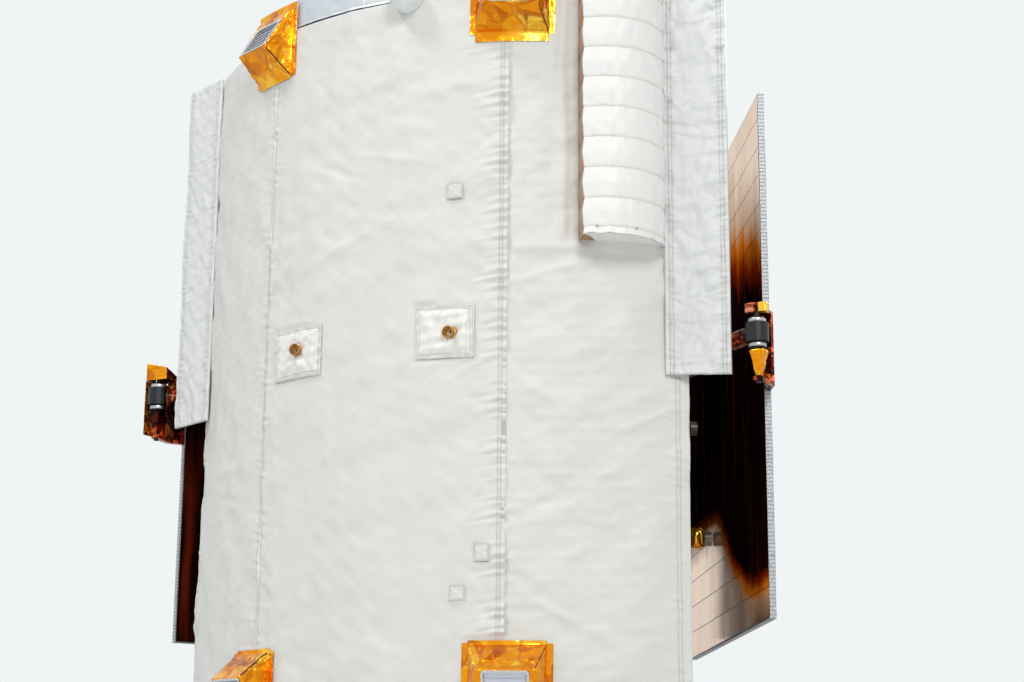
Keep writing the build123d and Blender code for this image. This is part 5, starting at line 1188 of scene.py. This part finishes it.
# Solar arrays: flat honeycomb panels.  The face that is folded in towards the body carries rows of
# mirror tiles with dark gaps, the other is bare carbon, and a pale strip closes the core's edge.
PANEL_EDGE, PANEL_BOTTOM = (1.101, -0.609), 0.625
PANEL_WIDE, PANEL_TALL, PANEL_THICK = 1.550, 1.697, 0.020
PANEL_ANGLE = math.radians(30)
panel_run = np.array((-math.sin(PANEL_ANGLE), math.cos(PANEL_ANGLE), 0))
panel_out = np.array((math.cos(PANEL_ANGLE), math.sin(PANEL_ANGLE), 0))
finish = Finish("array_face")
w, up = finish.uv()
row_of, column = up / 0.095, w / 0.10
in_row, in_column = row_of % 1.0, column % 1.0
row_line = (in_row < 0.030) * (in_column > 0.14)
dot = (in_row < 0.075) * (in_column < 0.075)
post_line = ((w + 0.07) / 0.36 % 1.0) < 0.008
tick = (abs(up - 0.015) < 0.006) * (in_column < 0.035)
cell = finish.node("ShaderNodeCombineXYZ", None, {
    0: column.math("FLOOR", column), 1: row_of.math("FLOOR", row_of)})
chance, chance_colour = (
    finish.node("ShaderNodeTexWhiteNoise", {"noise_dimensions": "2D"}, {0: cell}, output)
    for output in (0, 1))
normal = finish.leaning(finish.lean(chance_colour, 0.016))
cloudy = finish.noise(6.0)
# Painted reflections: the tiles are painted tan for the pale room they mirror, and over a broad
# patch amber and then near black for the body's blankets mirrored in them; on the left panel the
# patch runs down to the lower edge
x = finish.along(0)
wavy = finish.noise(3.0, 3.0)
streaks = finish.noise(1.0, 3.0, place=finish.stretched((16.0, 16.0, 1.1)))
foot = finish.node("ShaderNodeMapRange", {"interpolation_type": "SMOOTHSTEP"}, {
    0: (w - 0.3) / 0.7, 3: 0.075, 4: 0.405})
from_foot = (up - foot + (x < 0) * 0.6) / 0.09
from_head = (1.265 + w * 0.29 - up) / 0.24
depth = from_foot.least(from_head) + (wavy - 0.5) * 0.9 + (streaks - 0.5) * 0.7
tan = finish.mix(chance * 0.7 + cloudy * 0.3, (232, 190, 150), (216, 170, 130))
painted_reflection = finish.ramp(depth * 0.5, (0.0, (240, 168, 78)), (0.18, (236, 134, 30)),
                    (0.34, (150, 48, 10)), (0.50, (24, 7, 5)))
shade = finish.mix(depth * 4.0, tan, painted_reflection)
# Painted reflection: red-brown streaks over the dark patch
shade = finish.mix((streaks + (x < 0) * 0.08 - 0.56) * 5.0 * (depth > 0.9), shade, (96, 30, 14))
shade = finish.mix(row_line.most(dot) * 0.85, shade, (40, 26, 22))
shade = finish.mix(post_line * 0.6, shade, (120, 108, 100))
shade = finish.mix(tick, shade, (60, 44, 36))
mirror = (1 - depth * 3.0).most(0.0)
array_face = finish.surface(
    base_color=shade, metallic=mirror * 0.28, specular_ior_level=0.0,
    roughness=0.14 + row_line * 0.3 + cloudy * 0.06,
    normal=finish.bump(cloudy * 0.6 - row_line, 0.0006, 0.5, normal))
# The outer face: bare carbon in two lapped lengths, with inserts in rows
INSERTS_APART, INSERT_R = 0.155, 0.0045
finish = Finish("carbon_back")
w, up = finish.uv()
weave = (((w + up) / 0.004) % 1.0 < 0.5) * 0.5 + (((w - up) / 0.004) % 1.0 < 0.5) * 0.5
cloudy = finish.noise(3.0, 4.0)
across, over = ((along - start) / INSERTS_APART % 1.0 - 0.5 for along, start in ((w, 0.0775), (up, 0.071)))
from_insert = (across * across + over * over) ** 0.5 * INSERTS_APART
insert, collar_ring = from_insert < INSERT_R, (from_insert < 0.011) * (from_insert > INSERT_R)
lap = (w / 0.51 % 1.0 < 0.006).most(up / 0.563 % 1.0 < 0.005)
shade = finish.mix(weave * 0.5 + cloudy * 0.4, (24, 24, 27), (54, 54, 60))
shade = finish.mix(collar_ring * 0.5 + lap * 0.6, shade, (84, 84, 88))
shade = finish.mix(insert, shade, (176, 176, 172))
carbon_back = finish.surface(
    base_color=shade, roughness=0.34 + weave * 0.12 + cloudy * 0.1,
    normal=finish.bump(weave * 0.2 - insert + collar_ring * 0.5 + lap * 0.5, 0.0008))
# The edges: the core's cells and a pale strip with printed bars
finish = Finish("panel_strip")
height, across = finish.along(2), finish.along(1)
cells = finish.cells(110.0, None, "DISTANCE_TO_EDGE")
facing = finish.along(2, finish.node("ShaderNodeNewGeometry", output=1))
bar = (height / 0.012 % 1.0) < 0.26
bar = bar + ((across / 0.0104 % 1.0) < 0.26) * (abs(facing) > 0.5)
shade = finish.mix((cells < 0.10) * 0.6, (196, 198, 200), (128, 132, 138))
shade = finish.mix(bar * 0.55, shade, (96, 100, 108))
panel_strip = finish.surface(base_color=shade, metallic=0.35, roughness=0.4 + cells * 0.3,
                             normal=finish.bump(cells - bar * 0.4, 0.001))
FACE_OFF = 0.0008
HARNESS = (
    # places along the panel, its lower and upper edges
    ((0.02, 0.775), 1.441, 1.467),
    ((0.775, 0.801), 0.80, 2.16),
)
for name, side in SIDES:
    mirrored = np.array((side, 1, 1))
    edge = np.array((*PANEL_EDGE, PANEL_BOTTOM)) * mirrored
    run, out = panel_run * mirrored, panel_out * mirrored
    w = np.linspace(0, PANEL_WIDE, 40)[None]
    up = np.linspace(0, PANEL_TALL, 44)[:, None]
    for face, level, margin, material, slot in (
            ("face", -FACE_OFF, 0.004, array_face, "array_face"),
            ("back", PANEL_THICK + FACE_OFF, 0.002, carbon_back, "carbon_tube")):
        ripple = 0.00035 * waves(w, up, 0.35, 300 + side + (face == "back"))
        place_w = margin + w * (1 - 2 * margin / PANEL_WIDE)
        place_up = margin + up * (1 - 2 * margin / PANEL_TALL)
        points = (edge + place_w[..., None] * run + place_up[..., None] * UP
                  + (level + ripple)[..., None] * out)
        faces = grid_faces(44, 40)
        if (np.cross(run, UP) @ out < 0) == (face == "back"):
            faces = faces[:, ::-1]
        sheet = piece(f"array_{face}_{name}", points, faces, material, f"array_{name}",
                      uv=joined(w, up))
    dress(f"array_panel_{name}", panel_strip)
    # A flat harness in amber film, taped across the outer face and up to the head of the panel
    for number, (places, low, high) in enumerate(HARNESS):
        outline = [(edge + place * run + (PANEL_THICK + 0.0035) * out)[:2] for place in places]
        ribbon = folded_film(f"array_harness_{name}_{number}", outline, low, high, amber_film,
                             f"array_{name}", 350 + number, folds=0.0007)


# Body blankets: each wall wears a blanket tied at its rim and at a few grommets, which billows a
# little between them, in amber film on the front and the sides and black-faced film at the rear.
def blanket(name, origin, along, out, wide, tall, material, seed):
    """A billowing sheet over a wall: a swell over each tied bay, soft waves and sharp crumples."""
    w = np.linspace(0, wide, max(16, int(wide / 0.010)))[None]
    up = np.linspace(0, tall, max(16, int(tall / 0.010)))[:, None]
    bays = np.abs(np.sin(np.pi * w / wide * round(max(1, wide / 0.30)))
                  * np.sin(np.pi * up / tall * round(max(1, tall / 0.43)))) ** 0.6
    loose = np.clip(inside_rim(w, up, wide, tall) / 0.03, 0, 1)
    relief = 0.006 * bays + loose * (0.004 * waves(w, up, 0.16, seed)
                                     + 0.007 * (crumple(w, up, 0.10, seed + 1) - 0.55))
    relief = np.maximum(relief, 0) + 0.0015
    points = (np.array(origin) + w[..., None] * np.array(along) + up[..., None] * UP
              + relief[..., None] * np.array(out))
    faces = grid_faces(up.shape[0], w.shape[1])
    if np.cross(along, UP) @ np.array(out) < 0:
        faces = faces[:, ::-1]
    return piece(name, points, faces, material, uv=joined(w, up))


finish = Finish("dark_blanket")
folds, small = finish.cells(16.0), finish.cells(44.0)
cloudy = finish.noise(8.0, 4.0)
shade = finish.mix(cloudy * 0.8 + folds * 0.4, (20, 16, 17), (52, 38, 36))
dark_film = finish.surface(base_color=shade, metallic=0.25, roughness=0.30 + cloudy * 0.16,
                           normal=finish.bump(folds + small * 0.5, 0.008, 0.8))
wall_film = crinkled_film("wall_film", (250, 206, 112), (240, 176, 72), (204, 130, 40),
                          (140, 76, 24), 0.070, 0.22, tilt=0.28, low=0.06)
BUS_LOW, BUS_HIGH = 0.255, 1.925
BUS_HALF, BUS_REAR_HALF, BUS_BACK = 0.6, 0.3, 0.52
BUS_WALLS = [
    # wall, corner where it starts, corner where it ends, film
    ("wall_front", (-BUS_HALF, -BUS_BACK), (BUS_HALF, -BUS_BACK), wall_film),
    ("wall_right", (BUS_HALF, -BUS_BACK), (BUS_HALF, 0.0), wall_film),
    ("wall_rear_right", (BUS_HALF, 0.0), (BUS_REAR_HALF, BUS_BACK), dark_film),
    ("wall_rear", (BUS_REAR_HALF, BUS_BACK), (-BUS_REAR_HALF, BUS_BACK), dark_film),
    ("wall_rear_left", (-BUS_REAR_HALF, BUS_BACK), (-BUS_HALF, 0.0), dark_film),
    ("wall_left", (-BUS_HALF, 0.0), (-BUS_HALF, -BUS_BACK), wall_film),
]
for number, (name, start, end, material) in enumerate(BUS_WALLS):
    dress(name, material)
    start, end = np.array((*start, 0)), np.array((*end, 0))
    wide = float(np.linalg.norm(end - start))
    along = (end - start) / wide
    out = np.array((along[1], -along[0], 0))
    cloth = blanket(f"blanket_{name}", start + along * 0.006 + (0, 0, BUS_LOW + 0.004), along, out,
                    wide - 0.012, BUS_HIGH - BUS_LOW - 0.008, material, 400 + 3 * number)

# Decks: honeycomb panels in white thermal paint, with inserts in a square pattern.
finish = Finish("deck_skin")
cloudy = finish.noise(5.0, 4.0)
insert = finish.node("ShaderNodeTexVoronoi", {"feature": "F1", "distance": "CHEBYCHEV"}, {
    "Vector": finish.object_place(), "Scale": 9.0, "Randomness": 0.0}) < 0.06
deck_skin = finish.surface(
    base_color=finish.mix(insert * 0.7, finish.mix(cloudy, (208, 209, 206), (224, 224, 221)),
                          (150, 152, 154)),
    roughness=0.5 + cloudy * 0.1, normal=finish.bump(finish.noise(220.0, 2.0) * 0.5 - insert, 0.0004))
for name in ("lower_deck", "upper_deck"):
    dress(name, deck_skin)

# Separation ring: machined aluminium with a conversion coating and a turned finish.
finish = Finish("ring_metal")
turned_lines = finish.noise(1.0, 2.0, place=finish.stretched((1.0, 1.0, 500.0)))
cloudy = finish.noise(6.0, 4.0)
ring_metal = finish.surface(
    base_color=finish.mix(cloudy, (196, 190, 166), (208, 206, 196)), metallic=0.85,
    roughness=0.24 + turned_lines * 0.15 + cloudy * 0.08, normal=finish.bump(turned_lines, 0.0002))
dress("separation_ring", ring_metal)

# Hexagon-headed bolts: round the ring's upper flange, and at the corners of the arms' wall flanges
turn = np.arange(6)[:, None] * np.pi / 3
BOLT_PROFILE = ((0.0058, 0.0), (0.0058, 0.0042), (0.0046, 0.0050), (0.0004, 0.0050))
BOLT_CIRCLE = 0.465
seats = [((BOLT_CIRCLE * math.cos(a), BOLT_CIRCLE * math.sin(a), 0.218), -UP)
         for a in np.arange(48) * np.pi / 24 + 0.05]
for side in (-1, 1):
    for y, z in ((-0.390, 1.416), (-0.270, 1.416), (-0.390, 1.556), (-0.270, 1.556)):
        seats.append(((side * 0.612, y, z), np.array((side, 0, 0))))
points, faces = [], []
for seat, up_way in seats:
    first = np.array((0, 1.0, 0)) if up_way[0] else np.array((1.0, 0, 0))
    ring = np.cos(turn) * first + np.sin(turn) * np.cross(up_way, first)
    faces.append(grid_faces(4, 6, True) + 24 * len(points))
    points.append(np.concatenate([seat + high * up_way + radius * ring for radius, high in BOLT_PROFILE]))
bolts = piece("bolt_heads", np.concatenate(points), np.concatenate(faces), plain_metal, smooth=False)

# Main engine: a chamber and bell of a dark coated alloy, straw and blue where it has been hot, in
# a heat shield of amber film.  The deck's four smaller thrusters are alike.
finish = Finish("engine_metal")
height = finish.along(2)
cloudy = finish.noise(10.0, 4.0)
band = (height - 1.95) * 2.2 + cloudy * 0.3 - 0.15
engine_metal = finish.surface(
    base_color=finish.ramp(band, (0.0, (150, 148, 146)), (0.25, (126, 112, 92)),
                           (0.5, (84, 82, 96)), (1.0, (92, 88, 84))),
    metallic=0.8, roughness=0.30 + cloudy * 0.2, normal=finish.bump(finish.noise(180.0, 2.0), 0.0003))
for name in ("main_engine", "deck_thrusters"):
    dress(name, engine_metal)
dress("engine_heat_shield", wall_film)

# Star trackers: black-painted camera boxes with flared baffles.
dress("star_trackers", black)

# Electronics boxes, battery and instruments: clear-anodised and white-painted housings; the
# restraints are titanium like the shade's frame.
white_paint = coated("white_paint", (222, 222, 218), (204, 203, 198), 0.46)
anodised = cast_metal("anodised", (180, 178, 170), (160, 158, 150), 0.40, metallic=0.7)
for name, material in (("electronics_boxes", white_paint), ("battery_box", anodised),
                       ("rear_antenna", plain_metal), ("imager_bracket", anodised), ("imager", black),
                       ("laser_altimeter", anodised), ("spectrometers", white_paint),
                       ("array_restraints", titanium), ("boom_mounts", anodised)):
    dress(name, material)

# Gold film wrapped round the restraints' feet, which stand on the slanted walls
WRAPS = ((0.4, 1.012), (0.87, 1.473), (0.4, 1.886))  # share of the wall, height
WAIST_IN = 0.3002
for name, side in SIDES:
    out = panel_out * (side, 1, 1)
    beside = np.array((-out[1], out[0], 0))
    for number, (share, height) in enumerate(WRAPS):
        foot = np.array((side * (BUS_HALF - WAIST_IN * share), BUS_BACK * share, height))
        wrap = film_box(f"restraint_wrap_{name}_{number}", foot, (0.068, 0.068), 0.094, 0.006, gold_film,
                        330 + number, taper=(1.08, 1.08), folds=0.006, axes=(beside, UP, out))

# Boom: two carbon-fibre tubes that fold side by side behind the body, with a white head.
finish = Finish("carbon_tube")
spiral = finish.node("ShaderNodeTexWave", {"wave_type": "BANDS", "bands_direction": "DIAGONAL"}, {
    "Vector": finish.object_place(), "Scale": 60.0, "Distortion": 0.0})
cloudy = finish.noise(6.0, 4.0)
carbon_tube = finish.surface(
    base_color=finish.mix(spiral * 0.5 + cloudy * 0.3, (20, 20, 22), (52, 52, 56)),
    roughness=0.30 + spiral * 0.12, coat_weight=0.3, normal=finish.bump(spiral, 0.0002))
for name in ("boom_inner", "boom_outer"):
    dress(name, carbon_tube)
dress("magnetometer_head", white_paint)
